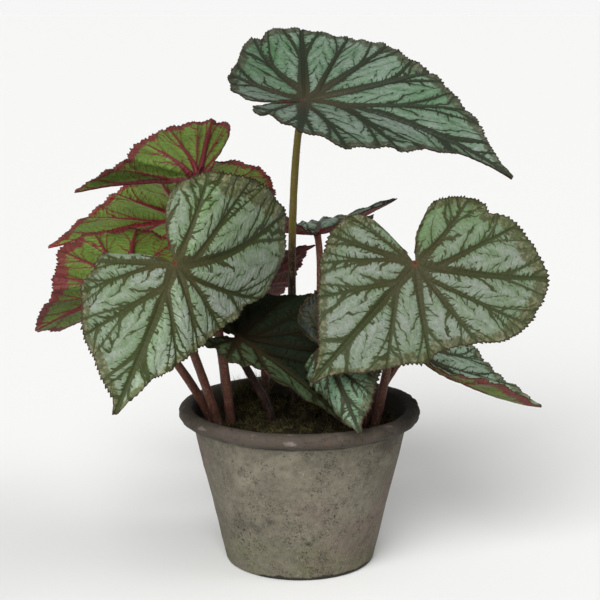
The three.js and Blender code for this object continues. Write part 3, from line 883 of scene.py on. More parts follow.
class SharedEffects:
    """The node groups that several finishes use, each built once."""

    def __init__(self) -> None:
        """Builds the groups."""
        self.veins = VeinPattern().tree
        self._mottle = self._build_mottle()
        self._specks = self._build_specks()

    def mottled(self, place: Value, scale: float, fine_scale: float, contrast: float) -> Value:
        """Gives a cloudy mask on a material."""
        inputs = {"Place": place, "Scale": scale, "Fine Scale": fine_scale, "Contrast": contrast}
        return place.nodes.group(self._mottle, inputs)["Mask"]

    def specked(self, place: Value, scale: float, amount: float) -> Value:
        """Gives a mask of specks on a material."""
        return place.nodes.group(self._specks, {"Place": place, "Scale": scale, "Amount": amount})["Mask"]

    def _build_mottle(self) -> NodeTree:
        """Builds a cloudy mask that mixes a broad and a fine noise.

        Returns:
            The group.
        """
        inputs = {"Place": None, "Scale": 40.0, "Fine Scale": 300.0, "Contrast": 0.2}
        group = EffectGroup("mottle", inputs, ("Mask",))
        n, given = group.nodes, group.given
        broad = n.noise(given["Place"], given["Scale"], 4.0, 0.6)
        fine = n.noise(given["Place"], given["Fine Scale"], 4.0, 0.7)
        low, high = 0.5 - given["Contrast"], given["Contrast"] + 0.5
        return group.close({"Mask": n.ease(broad * 0.65 + fine * 0.35, low, high)})

    def _build_specks(self) -> NodeTree:
        """Builds a mask of small uneven specks that gather in some places.

        Returns:
            The group.
        """
        group = EffectGroup("specks", {"Place": None, "Scale": 400.0, "Amount": 0.3}, ("Mask",))
        n, given = group.nodes, group.given
        grain = n.noise(given["Place"], given["Scale"], 3.0, 0.65)
        gathered = n.noise(given["Place"], given["Scale"] * 0.12)
        low = 0.78 - given["Amount"] * 0.3
        return group.close({"Mask": n.ease(grain + (gathered - 0.5) * 0.35, low, low + 0.05)})


class Paint:
    """A colour that is laid on coat by coat."""

    def __init__(self, nodes: Nodes, ground: Value | Rgb) -> None:
        """Starts with the ground colour."""
        self.nodes = nodes
        self.colour = ground

    def coat(self, mask: Value, colour: Value | Rgb, share: float = 1.0) -> None:
        """Lays a colour over a mask, as strongly as the share says."""
        shown = mask if share == 1.0 else mask * share
        self.colour = self.nodes.blend(shown, self.colour, colour)

    def shade(self, factor: Value) -> None:
        """Multiplies the colour."""
        self.colour = self.nodes.blend(1.0, self.colour, factor, "MULTIPLY")


class Surface:
    """A material with a Principled shader."""

    def __init__(self, name: str) -> None:
        """Starts the material.

        Args:
            name: The material's name.
        """
        self.material = bpy.data.materials.new(name)
        self.material.use_nodes = True
        self.nodes = Nodes(self.material.node_tree)
        self.shader = self.material.node_tree.nodes["Principled BSDF"]
        self.place = self.nodes.value("ShaderNodeTexCoord", output="Object")

    def dress(self, colour: Value | Rgb, roughness: Value | float, specular: float) -> None:
        """Gives the shader its colour and its gloss."""
        gloss = {"Base Color": colour, "Roughness": roughness, "Specular IOR Level": specular}
        for name, value in gloss.items():
            self.nodes.feed(self.shader.inputs[name], value)

    def raise_by(self, height: Value, distance: float, strength: float) -> None:
        """Feeds a height to the shader's normal through a Bump node."""
        inputs = {"Height": height, "Strength": strength, "Distance": distance}
        self.nodes.feed(self.shader.inputs["Normal"], self.nodes.value("ShaderNodeBump", inputs, "Normal"))


@dataclass(frozen=True)
class Finish:
    """A named finish. Each kind of finish paints its own surface."""

    name: str

    def material(self, effects: SharedEffects) -> Material:
        """Builds the material.

        Args:
            effects: The shared node groups.

        Returns:
            The material.
        """
        surface = Surface(self.name)
        self.paint(surface, effects)
        return surface.material

    def paint(self, surface: Surface, effects: SharedEffects) -> None:
        """Paints the surface, in the way of this kind of finish."""
        raise NotImplementedError


@dataclass(frozen=True)
class LeafTopFinish(Finish):
    """The upper face: silver patches between spiky olive veins, with a speckled olive margin."""

    silver: Rgb
    mint: Rgb
    vein: Rgb
    heart_vein: Rgb
    side: Rgb
    margin: Rgb
    blotch: Rgb
    edge: Rgb = srgb(54, 40, 24)
    heart: Rgb = srgb(100, 52, 32)
    roughness: float = 0.5
    specular: float = 0.22
    margin_width: float = 4.2
    darkest_veins: float = 0.4

    def paint(self, surface: Surface, effects: SharedEffects) -> None:
        """Paints the patches, the margin and then the veins.

        Args:
            surface: The surface.
            effects: The shared node groups.
        """
        n, place = surface.nodes, surface.place
        settings = {"Width": 1.0, "Side Width": 1.0, "Feather": 1.0, "Margin Width": self.margin_width}
        veins = n.group(effects.veins, settings)
        cloud = effects.mottled(place, 30.0, 210.0, 0.12)
        grain = effects.mottled(place, 480.0, 1400.0, 0.2)
        flecks = effects.specked(place, 800.0, 0.62)
        green = (veins["Halo"] * 0.25 + cloud * 0.6 + veins["Green"] * 0.7 + grain * 0.25) * 0.8
        patch = Paint(n, self.silver)
        patch.coat(green, self.mint)
        patch.shade(n.blend(grain, (1.12, 1.1, 1.12), (0.8, 0.84, 0.8)))
        patch.coat(veins["Halo"] * (cloud * 0.25 + 0.06), self.side)
        patch.coat(flecks, self.side, share=0.5)
        patch.coat(veins["Sides"], self.side, share=0.9)
        blotches = n.ease(n.noise(place, 380.0, 3.0, 0.6), 0.47, 0.62)
        patch.coat(veins["Margin"], n.blend(blotches * 0.8, self.margin, self.blotch), share=0.85)
        # Painted light and shade, from the leaf's form.
        patch.shade(veins["Painted Light"])
        # Where a half has painted light, its veins stay as dark as any; painted shade darkens them too.
        dark = Paint(n, n.blend(veins["Outward"], self.heart_vein, self.vein))
        dark.coat(grain, self.margin, share=0.3)
        dark.shade(n.math("MAXIMUM", n.math("MINIMUM", veins["Painted Light"], 1.0), self.darkest_veins))
        patch.coat(veins["Veins"], dark.colour)
        patch.coat(veins["Heart"], self.heart, share=0.42)
        patch.coat(veins["Edge"], self.edge)
        surface.dress(patch.colour, grain * 0.12 + self.roughness, self.specular)
        surface.raise_by(veins["Relief"] + grain * 0.16, 0.9 * MM, 0.9)


@dataclass(frozen=True)
class LeafUnderFinish(Finish):
    """The underside: yellow-green between raised red veins, with a red band along the margin."""

    green: Rgb
    pale: Rgb
    red: Rgb
    band: Rgb

    def paint(self, surface: Surface, effects: SharedEffects) -> None:
        """Paints the green, the margin and then the veins.

        Args:
            surface: The surface.
            effects: The shared node groups.
        """
        n, place = surface.nodes, surface.place
        settings = {"Width": 0.4, "Side Width": 0.42, "Side Length": 1.8, "Feather": 0.25}
        veins = n.group(effects.veins, settings | {"Margin Width": 3.2})
        cloud = effects.mottled(place, 34.0, 300.0, 0.14)
        grain = effects.mottled(place, 600.0, 1600.0, 0.22)
        flush = effects.mottled(place, 70.0, 900.0, 0.1)
        paint = Paint(n, n.blend(cloud, self.green, self.pale))
        paint.shade(n.blend(grain, (0.78, 0.82, 0.78), (1.14, 1.12, 1.12)))
        paint.coat(veins["Halo"] * flush, self.red, share=0.16)
        paint.coat(veins["Sides"], self.red, share=0.65)
        paint.coat(veins["Margin"], self.band, share=0.9)
        paint.coat(veins["Veins"], self.red)
        # Painted light and shade, from the leaf's form.
        paint.shade(veins["Painted Light"])
        surface.dress(paint.colour, roughness=0.58, specular=0.28)
        surface.raise_by(grain * 0.12 - veins["Relief"], 1.6 * MM, 0.9)


@dataclass(frozen=True)
class StalkFinish(Finish):
    """A stalk's skin: it changes colour from the foot over the middle to the top, with pale flecks."""

    foot: Rgb
    middle: Rgb
    top: Rgb
    # Between which two heights each colour gives way to the next.
    middle_from: float
    middle_to: float
    top_from: float
    top_to: float
    fleck: Rgb
    wander: float = 0.03

    def paint(self, surface: Surface, effects: SharedEffects) -> None:
        """Paints the three colours, pale streaks and flecks.

        Args:
            surface: The surface.
            effects: The shared node groups.
        """
        n, place = surface.nodes, surface.place
        height = n.split(place)[2] + n.noise(place, 60.0, 3.0) * self.wander
        paint = Paint(n, self.foot)
        paint.coat(n.ease(height, self.middle_from, self.middle_to), self.middle)
        paint.coat(n.ease(height, self.top_from, self.top_to), self.top)
        streaks = n.noise(n.scaled(place, (1.0, 1.0, 0.14)), 620.0, 3.0, 0.55)
        paint.coat(n.ease(streaks, 0.4, 0.7), n.blend(0.2, paint.colour, self.fleck))
        flecks = effects.specked(place, 1000.0, 0.7)
        paint.coat(flecks, self.fleck, share=0.6)
        surface.dress(paint.colour, roughness=0.5, specular=0.15)
        surface.raise_by(flecks, 0.12 * MM, 0.5)


@dataclass(frozen=True)
class HairFinish(Finish):
    """Fine hairs of one colour, a little lighter in places."""

    colour: Rgb
    light: Rgb

    def paint(self, surface: Surface, effects: SharedEffects) -> None:
        """Paints the hairs."""
        mask = effects.mottled(surface.place, 350.0, 900.0, 0.1)
        surface.dress(surface.nodes.blend(mask, self.colour, self.light), roughness=0.6, specular=0.12)


@dataclass(frozen=True)
class PotMasks:
    """What the coats of the pot's finish share: the place, its three numbers, and masks of noise."""

    place: Value
    x: Value
    y: Value
    z: Value
    cloud: Value
    grain: Value
    grime: Value


@dataclass(frozen=True)
class PotFinish(Finish):
    """Weathered clay: mottled grey-brown with specks, stains, a pale smear, a darker lip, and painted shadow
    under it.
    """

    name: str = "weathered_clay"
    stone: Rgb = srgb(94, 89, 77)
    pale: Rgb = srgb(112, 107, 94)
    warm: Rgb = srgb(100, 88, 80)
    algae: Rgb = srgb(88, 90, 64)
    dark: Rgb = srgb(56, 50, 42)
    smear: Rgb = srgb(124, 118, 104)
    speck: Rgb = srgb(32, 28, 22)
    grit: Rgb = srgb(146, 140, 124)
    rust: Rgb = srgb(98, 62, 50)
    lip: Rgb = srgb(70, 62, 55)
    worn_lip: Rgb = srgb(128, 118, 110)
    inside: Rgb = srgb(40, 35, 28)
    algae_top: float = 0.04
    # Where the lip starts, over what height its colour sets in, and how far that edge wanders.
    lip_start: float = 0.0885
    lip_fade: float = 0.0014
    lip_wander: float = 0.0026
    # Where the lip's right end turns nearly black, in x, and up to which height.
    black_span: Pair = (0.052, 0.066)
    black_height: float = 0.094
    # The foot line is partly the base's own dark edge and partly painted shadow where the pot stands.
    # The dark line at the foot: where it fades and ends, and how far it wanders. It is lower on the left.
    foot_line: Pair = (0.0031, 0.0019)
    foot_wander: float = 0.009
    foot_left: Pair = (-0.012, -0.03)
    foot_drop: float = 0.002
    # A cone halfway through the wall: its radius at the floor, and how much wider it gets with the height.
    wall_radius: float = 0.0447
    wall_slope: float = 0.225
    # The smear's arc on the front: its middle in x and z, its radius, and where it starts and ends in x.
    arc: tuple[float, float, float, float, float] = (0.042, -0.014, 0.109, -0.043, 0.009)
    arc_half_width: Pair = (0.0052, 0.002)
    # Stains on the front: place in x and z, radius, and how dark they are.
    stains: tuple[tuple[float, float, float, float], ...] = (
        (-0.034, 0.032, 0.013, 0.7), (0.005, 0.0256, 0.0034, 1.3), (0.002, 0.029, 0.0016, 1.3),
        (0.008, 0.028, 0.0018, 1.3), (0.052, 0.0855, 0.013, 0.8), (-0.018, 0.039, 0.003, 0.7),
    )

    def paint(self, surface: Surface, effects: SharedEffects) -> None:
        """Paints the wall, the lip with a painted shadow under it, the inside and the foot.

        Args:
            surface: The surface.
            effects: The shared node groups.
        """
        n, place = surface.nodes, surface.place
        at = PotMasks(
            place, *n.split(place), effects.mottled(place, 20.0, 110.0, 0.15),
            effects.mottled(place, 300.0, 1000.0, 0.22), effects.mottled(place, 48.0, 420.0, 0.09),
        )
        paint = Paint(n, self.stone)
        self._clay(paint, at)
        self._marks(paint, at)
        specks = effects.specked(place, 1000.0, 0.62)
        pits = effects.specked(place, 400.0, 0.36)
        # The grit's place is mirrored, so that it lies elsewhere than the specks.
        grit = effects.specked(n.scaled(place, (1, 1, -1)), 900.0, 0.5)
        paint.coat(grit, self.grit, share=0.35)
        paint.coat(specks, self.speck, share=0.6)
        paint.coat(pits, self.speck, share=0.75)
        wander = n.noise(place, 90.0, 3.0, 0.6) - 0.5
        height = at.z + wander * self.lip_wander
        lip = n.ease(height, self.lip_start, self.lip_start + self.lip_fade)
        paint.coat(lip, self._lip_colour(at, height), share=0.92)
        # A thin painted shadow under the lip, where it overhangs the wall.
        shadow_under_lip = n.ease(height, self.lip_start - 0.0018, self.lip_start - 0.0002)
        shadow_under_lip = shadow_under_lip * n.ease(height, self.lip_start + 0.0012, self.lip_start)
        paint.coat(shadow_under_lip, self.speck, share=0.8)
        radius = n.math("SQRT", at.x * at.x + at.y * at.y)
        within = radius - (at.z * self.wall_slope + self.wall_radius)
        paint.coat(n.ease(within, 0.0, -1.0 * MM), self.inside, share=0.85)
        # The dark line at the foot: partly the base's own dark edge, partly painted shadow where the pot
        # stands.
        foot = at.z + wander * self.foot_wander + n.ease(at.x, *self.foot_left) * self.foot_drop
        paint.coat(n.ease(foot, *self.foot_line), self.speck, share=0.9)
        surface.dress(paint.colour, at.grain * 0.14 + 0.76, specular=0.25)
        surface.raise_by(at.grain + at.grime * 0.6 - (specks + pits * 1.6), 0.3 * MM, 0.8)

    def _clay(self, paint: Paint, at: PotMasks) -> None:
        """Paints the mottled clay, with algae low down and large faint stains.

        Args:
            paint: The wall's colour.
            at: The place and the noises.
        """
        n = paint.nodes
        paint.coat(at.cloud, self.pale)
        paint.coat(n.ease(n.noise(at.place, 17.0, 3.0), 0.5, 0.68), self.warm)
        paint.coat(n.ease(at.z, self.algae_top, 0.0) * at.grime, self.algae, share=0.7)
        paint.shade(n.blend(at.grain, (0.74, 0.74, 0.74), (1.22, 1.22, 1.19)))
        stained = n.noise(n.scaled(at.place, (1, 1, 0.7)), 30.0, 5.0, 0.65)
        paint.coat(n.ease(stained, 0.56, 0.74), self.dark, share=0.5)

    def _marks(self, paint: Paint, at: PotMasks) -> None:
        """Paints the marks on the front: a pale smear in an arc, and dark stains.

        Args:
            paint: The wall's colour.
            at: The place and the noises.
        """
        n = paint.nodes
        front = n.ease(at.y, 0.0, -0.02)
        middle_x, middle_z, radius, start, end = self.arc
        away = abs(n.length(at.x - middle_x, at.z - middle_z) - radius)
        along = n.ease(at.x, start, start + 0.01) * n.ease(at.x, end, end - 0.014)
        smear = n.ease(away, *self.arc_half_width) * along * front * (at.cloud * 0.3 + 0.3)
        paint.coat(smear, self.smear)
        for spot_x, spot_z, radius, darkness in self.stains:
            away = n.length(at.x - spot_x, at.z - spot_z) + at.grime * (radius * 0.8)
            shade = n.ease(away, radius * 1.7, radius * 0.3) * (front * darkness)
            paint.coat(n.math("MINIMUM", shade, 0.9), self.dark)

    def _lip_colour(self, at: PotMasks, height: Value) -> Value:
        """Gives the lip's colour: worn, cracked and rusty in places, and nearly black at its right end.

        Args:
            at: The place and the noises.
            height: The height, with the wandering of the lip's edge.

        Returns:
            The colour.
        """
        n = at.place.nodes
        band = Paint(n, self.lip)
        worn = n.noise(n.scaled(at.place, (1, 1, 2.5)), 75.0, 4.0, 0.6)
        band.coat(n.ease(worn, 0.58, 0.7), self.worn_lip, share=0.75)
        band.coat(at.grain, self.dark, share=0.35)
        cracks = n.ease(abs(n.noise(at.place, 170.0) - 0.5), 0.022, 0.008)
        cracks = cracks * n.ease(n.noise(at.place, 60.0), 0.49, 0.56)
        band.coat(cracks, self.speck, share=0.75)
        rusty = n.ease(n.noise(at.place, 70.0), 0.54, 0.66) * n.ease(at.x, 0.0, 0.02)
        band.coat(rusty, self.rust, share=0.45)
        right = n.ease(at.x + at.grime * 0.01, *self.black_span)
        band.coat(right * n.ease(height, self.lip_start, self.black_height), self.speck, share=0.93)
        return band.colour


@dataclass(frozen=True)
class MossFinish(Finish):
    """Damp dark mix with mossy colour in places."""

    earth: Rgb
    moss: Rgb
    fibre: Rgb

    def paint(self, surface: Surface, effects: SharedEffects) -> None:
        """Paints earth, moss and light fibres, with darker grain.

        Args:
            surface: The surface.
            effects: The shared node groups.
        """
        n, place = surface.nodes, surface.place
        cloud = effects.mottled(place, 110.0, 500.0, 0.07)
        grain = effects.mottled(place, 700.0, 1800.0, 0.16)
        paint = Paint(n, n.blend(cloud, self.earth, self.moss))
        paint.coat(effects.specked(place, 380.0, 0.3), self.fibre, share=0.5)
        darker = n.blend(0.55, paint.colour, self.earth)
        surface.dress(n.blend(grain, darker, paint.colour), roughness=0.9, specular=0.06)
        surface.raise_by(grain + cloud, 1.2 * MM, 1.0)


TOP_FINISHES = {
    Light.FRESH: LeafTopFinish(
        "leaf_top_fresh", silver=srgb(131, 134, 130), mint=srgb(98, 121, 83), vein=srgb(45, 53, 20),
        heart_vein=srgb(54, 52, 26), side=srgb(44, 62, 28), margin=srgb(62, 65, 30),
        blotch=srgb(112, 108, 80),
    ),
    # A lighter copy, as painted light for leaves that stand in light.
    Light.LIT: LeafTopFinish(
        "leaf_top_lit", silver=srgb(168, 180, 168), mint=srgb(124, 160, 124), vein=srgb(50, 60, 35),
        heart_vein=srgb(62, 56, 34), side=srgb(54, 78, 48), margin=srgb(76, 80, 50),
        blotch=srgb(122, 124, 96),
    ),
    Light.COOL: LeafTopFinish(
        "leaf_top_cool", silver=srgb(128, 138, 130), mint=srgb(80, 116, 78), vein=srgb(30, 40, 23),
        heart_vein=srgb(54, 50, 32), side=srgb(24, 48, 32), margin=srgb(50, 50, 32), blotch=srgb(90, 92, 72),
        roughness=0.44,
    ),
    # A darker copy, as painted shade for leaves that stand in shade.
    Light.SHADED: LeafTopFinish(
        "leaf_top_shaded", silver=srgb(50, 60, 43), mint=srgb(41, 52, 32), vein=srgb(37, 36, 20),
        heart_vein=srgb(41, 34, 20), side=srgb(22, 29, 14), margin=srgb(32, 36, 20), blotch=srgb(50, 60, 36),
        heart=srgb(46, 26, 16), roughness=0.65, specular=0.04,
    ),
}
UNDER_FINISHES = {
    Light.FRESH: LeafUnderFinish(
        "leaf_under_fresh", green=srgb(74, 95, 31), pale=srgb(94, 118, 46), red=srgb(92, 25, 30),
        band=srgb(96, 28, 36),
    ),
    # A lighter copy, as painted light for undersides that stand in light.
    Light.LIT: LeafUnderFinish(
        "leaf_under_lit", green=srgb(107, 137, 50), pale=srgb(131, 161, 71), red=srgb(128, 36, 44),
        band=srgb(130, 38, 48),
    ),
    Light.COOL: LeafUnderFinish(
        "leaf_under_cool", green=srgb(78, 98, 44), pale=srgb(98, 120, 60), red=srgb(94, 26, 34),
        band=srgb(92, 30, 38),
    ),
    # A darker copy, as painted shade for undersides that stand in shade.
    Light.SHADED: LeafUnderFinish(
        "leaf_under_shaded", green=srgb(72, 40, 32), pale=srgb(84, 58, 38), red=srgb(88, 20, 28),
        band=srgb(80, 22, 30),
    ),
}
# The rims of the blades are as plain as the hairs.
RIM = HairFinish("leaf_rim", srgb(52, 36, 24), srgb(72, 58, 38))
DARK_RIM = HairFinish("leaf_rim_dark", srgb(24, 19, 11), srgb(36, 32, 19))
# The dark rim is painted shade on the shaded leaves; the cool leaves take it too.
RIM_FINISHES = {Light.FRESH: RIM, Light.LIT: RIM, Light.COOL: DARK_RIM, Light.SHADED: DARK_RIM}
FRINGE_FINISH = HairFinish("leaf_fringe", srgb(80, 42, 34), srgb(108, 72, 54))
STALK_HAIR_FINISH = HairFinish("stalk_hair", srgb(100, 67, 55), srgb(136, 106, 88))
RED_STALK = StalkFinish(
    "stalk_red", foot=srgb(60, 39, 31), middle=srgb(90, 55, 44), top=srgb(96, 54, 44), middle_from=0.095,
    middle_to=0.125, top_from=0.15, top_to=0.21, fleck=srgb(132, 108, 94),
)
TALL_STALK = StalkFinish(
    "stalk_tall", foot=srgb(22, 14, 10), middle=srgb(46, 26, 18), top=srgb(98, 88, 36), middle_from=0.17,
    middle_to=0.2, top_from=0.198, top_to=0.226, fleck=srgb(124, 108, 78),
)
DARK_STALK = StalkFinish(
    "stalk_dark", foot=srgb(28, 18, 15), middle=srgb(38, 24, 20), top=srgb(66, 37, 31), middle_from=0.1,
    middle_to=0.135, top_from=0.15, top_to=0.21, fleck=srgb(94, 74, 64),
)
# The stalks that stand in the shade are darker, and so are their hairs.
STALK_FINISHES = {"tall": TALL_STALK, "mid_left": DARK_STALK, "centre": DARK_STALK}
SOIL_FINISH = MossFinish("potting_mix", srgb(38, 33, 24), srgb(64, 58, 40), srgb(112, 104, 70))
STRAND_FINISH = MossFinish("moss", srgb(62, 54, 36), srgb(142, 136, 82), srgb(214, 202, 136))


# Meshes


def finish_object(name: str, mesh: Mesh, materials: list[Material]) -> Object:
    """Makes an object of a mesh, smooth and with its materials.

    Args:
        name: The piece's name.
        mesh: Its mesh, in the row frame.
        materials: Its materials, in slot order.

    Returns:
        The object.
    """
    for material in materials:
        mesh.materials.append(material)
    mesh.polygons.foreach_set("use_smooth", [True] * len(mesh.polygons))
    made = bpy.data.objects.new(name, mesh)
    bpy.context.scene.collection.objects.link(made)
    return made


def mesh_places(mesh: Mesh) -> Array:
    """Reads a mesh's vertices as an array of points."""
    return np.array([vertex.co for vertex in mesh.vertices])


def move_vertices(mesh: Mesh, places: Array) -> None:
    """Moves a mesh's vertices to the given points."""
    mesh.vertices.foreach_set("co", places.astype(np.float32).ravel())
    mesh.update()


def add_attribute(mesh: Mesh, name: str, values: Array) -> None:
    """Stores a vector for each vertex."""
    attribute = mesh.attributes.new(name, "FLOAT_VECTOR", "POINT")
    attribute.data.foreach_set("vector", values.astype(np.float32).ravel())


def to_mesh(bm: bmesh.types.BMesh, name: str) -> Mesh:
    """Turns a bmesh into a new mesh and frees it.

    Args:
        bm: The bmesh.
        name: The mesh's name.

    Returns:
        The mesh.
    """
    mesh = bpy.data.meshes.new(name)
    bm.to_mesh(mesh)
    bm.free()
    return mesh


def close_up(bm: bmesh.types.BMesh) -> None:
    """Merges a closed shape's doubles and turns its faces outwards."""
    bmesh.ops.remove_doubles(bm, verts=bm.verts, dist=DOUBLES)
    bmesh.ops.recalc_face_normals(bm, faces=bm.faces)


def unit_vectors(vectors: Array) -> Array:
    """Scales each vector to a length of 1."""
    return vectors / np.linalg.norm(vectors, axis=1, keepdims=True)


def unit_sheet(name: str, columns: int, rows: int) -> Mesh:
    """Makes a unit square grid whose lowest row is one point, for a fan or a disc.

    Args:
        name: The mesh's name.
        columns: Faces along x.
        rows: Faces along y.

    Returns:
        The mesh, from 0 to 1 along x and y.
    """
    bm = bmesh.new()
    bmesh.ops.create_grid(bm, x_segments=columns, y_segments=rows, size=0.5)
    bmesh.ops.translate(bm, verts=bm.verts, vec=(0.5, 0.5, 0.0))
    lowest = [v for v in bm.verts if v.co.y < 0.25 / rows]
    bmesh.ops.pointmerge(bm, verts=lowest, merge_co=(0.5, 0.0, 0.0))
    # A fan runs round with x, which turns its faces over.
    bmesh.ops.reverse_faces(bm, faces=bm.faces)
    return to_mesh(bm, name)


def fractal(places: Array, scale: float, octaves: int = 3) -> Array:
    """Gives smooth noise between about -1 and 1 at points, which are scaled first."""
    spots = (Vector(place) * scale for place in places)
    return np.array([noise.fractal(spot, 1.0, 2.0, octaves) for spot in spots])


class Strand:
    """A thin pointed strand of three sides, strewn many times over a surface."""

    # A helper along z sets the sides of a strand, unless the strand itself stands steeper than this.
    STEEP = 0.9

    def __init__(self, levels: int) -> None:
        """Keeps how many times a strand is cut across, so that it can bend."""
        self.levels = levels

    def _unit_strands(self, number: int) -> bmesh.types.BMesh:
        """Makes many equal strands in one place, each of length 1 along z.

        Args:
            number: How many strands.

        Returns:
            The strands, whose vertices hold their strand's number in the layer "strand".
        """
        bm = bmesh.new()
        bmesh.ops.create_cone(
            bm, cap_ends=True, cap_tris=True, segments=3, radius1=1.0, radius2=0.0, depth=1.0
        )
        bmesh.ops.translate(bm, verts=bm.verts, vec=(0, 0, 0.5))
        for level in range(self.levels):
            cut = (0, 0, (level + 1) / (self.levels + 1))
            whole = bm.verts[:] + bm.edges[:] + bm.faces[:]
            bmesh.ops.bisect_plane(bm, geom=whole, plane_co=cut, plane_no=(0, 0, 1))
        owner = bm.verts.layers.int.new("strand")
        count = 1
        while count < number:
            made = bmesh.ops.duplicate(bm, geom=bm.verts[:] + bm.edges[:] + bm.faces[:])["geom"]
            for vertex in made:
                if isinstance(vertex, bmesh.types.BMVert):
                    vertex[owner] += count
            count *= 2
        spare = [vertex for vertex in bm.verts if vertex[owner] >= number]
        bmesh.ops.delete(bm, geom=spare, context="VERTS")
        return bm

    def strew(self, name: str, roots: Array, tips: Array, radius: Array, sag: float = 0.0) -> Mesh:
        """Makes one mesh of many strands.

        Args:
            name: The mesh's name.
            roots: Where each strand starts.
            tips: Where each strand ends.
            radius: Each strand's radius at its root.
            sag: How far a strand's middle hangs, as a share of its length.

        Returns:
            The mesh.
        """
        bm = self._unit_strands(len(roots))
        owner = bm.verts.layers.int["strand"]
        strand = np.array([vertex[owner] for vertex in bm.verts])
        unit = np.array([vertex.co for vertex in bm.verts])
        mesh = to_mesh(bm, name)
        length = np.linalg.norm(tips - roots, axis=1, keepdims=True)
        axis = unit_vectors(tips - roots)
        helper = np.where(np.abs(axis[:, 2:3]) > self.STEEP, [[1.0, 0.0, 0.0]], [[0.0, 0.0, 1.0]])
        side = unit_vectors(np.cross(helper, axis))
        other = np.cross(axis, side)
        along = unit[:, 2:3]
        places = roots[strand] + (tips - roots)[strand] * along
        places += radius[strand, None] * (side[strand] * unit[:, 0:1] + other[strand] * unit[:, 1:2])
        places[:, 2] -= (sag * length[strand] * 4 * along * (1 - along))[:, 0]
        move_vertices(mesh, places)
        return mesh


@dataclass
class Finishes:
    """All materials of the object, built once."""

    effects: SharedEffects = field(default_factory=SharedEffects)
    made: dict[str, Material] = field(default_factory=dict)

    def get(self, finish: Finish) -> Material:
        """Gives the material of a finish.

        Args:
            finish: The finish.

        Returns:
            Its material, built when it is first asked for.
        """
        if finish.name not in self.made:
            self.made[finish.name] = finish.material(self.effects)
        return self.made[finish.name]


@dataclass(frozen=True)
class BladePlaces:
    """Places on a blade, as arrays."""

    vein: Array
    out: Array
    angle: Array
    # In lengths of the tip.
    reach: Array
    # In millimetres: the place, the distance from the nearest vein, and the width between two veins.
    spots: Array
    gap: Array
    panel: Array
    strength: Array
    # Millimetres from the margin.
    rim: Array


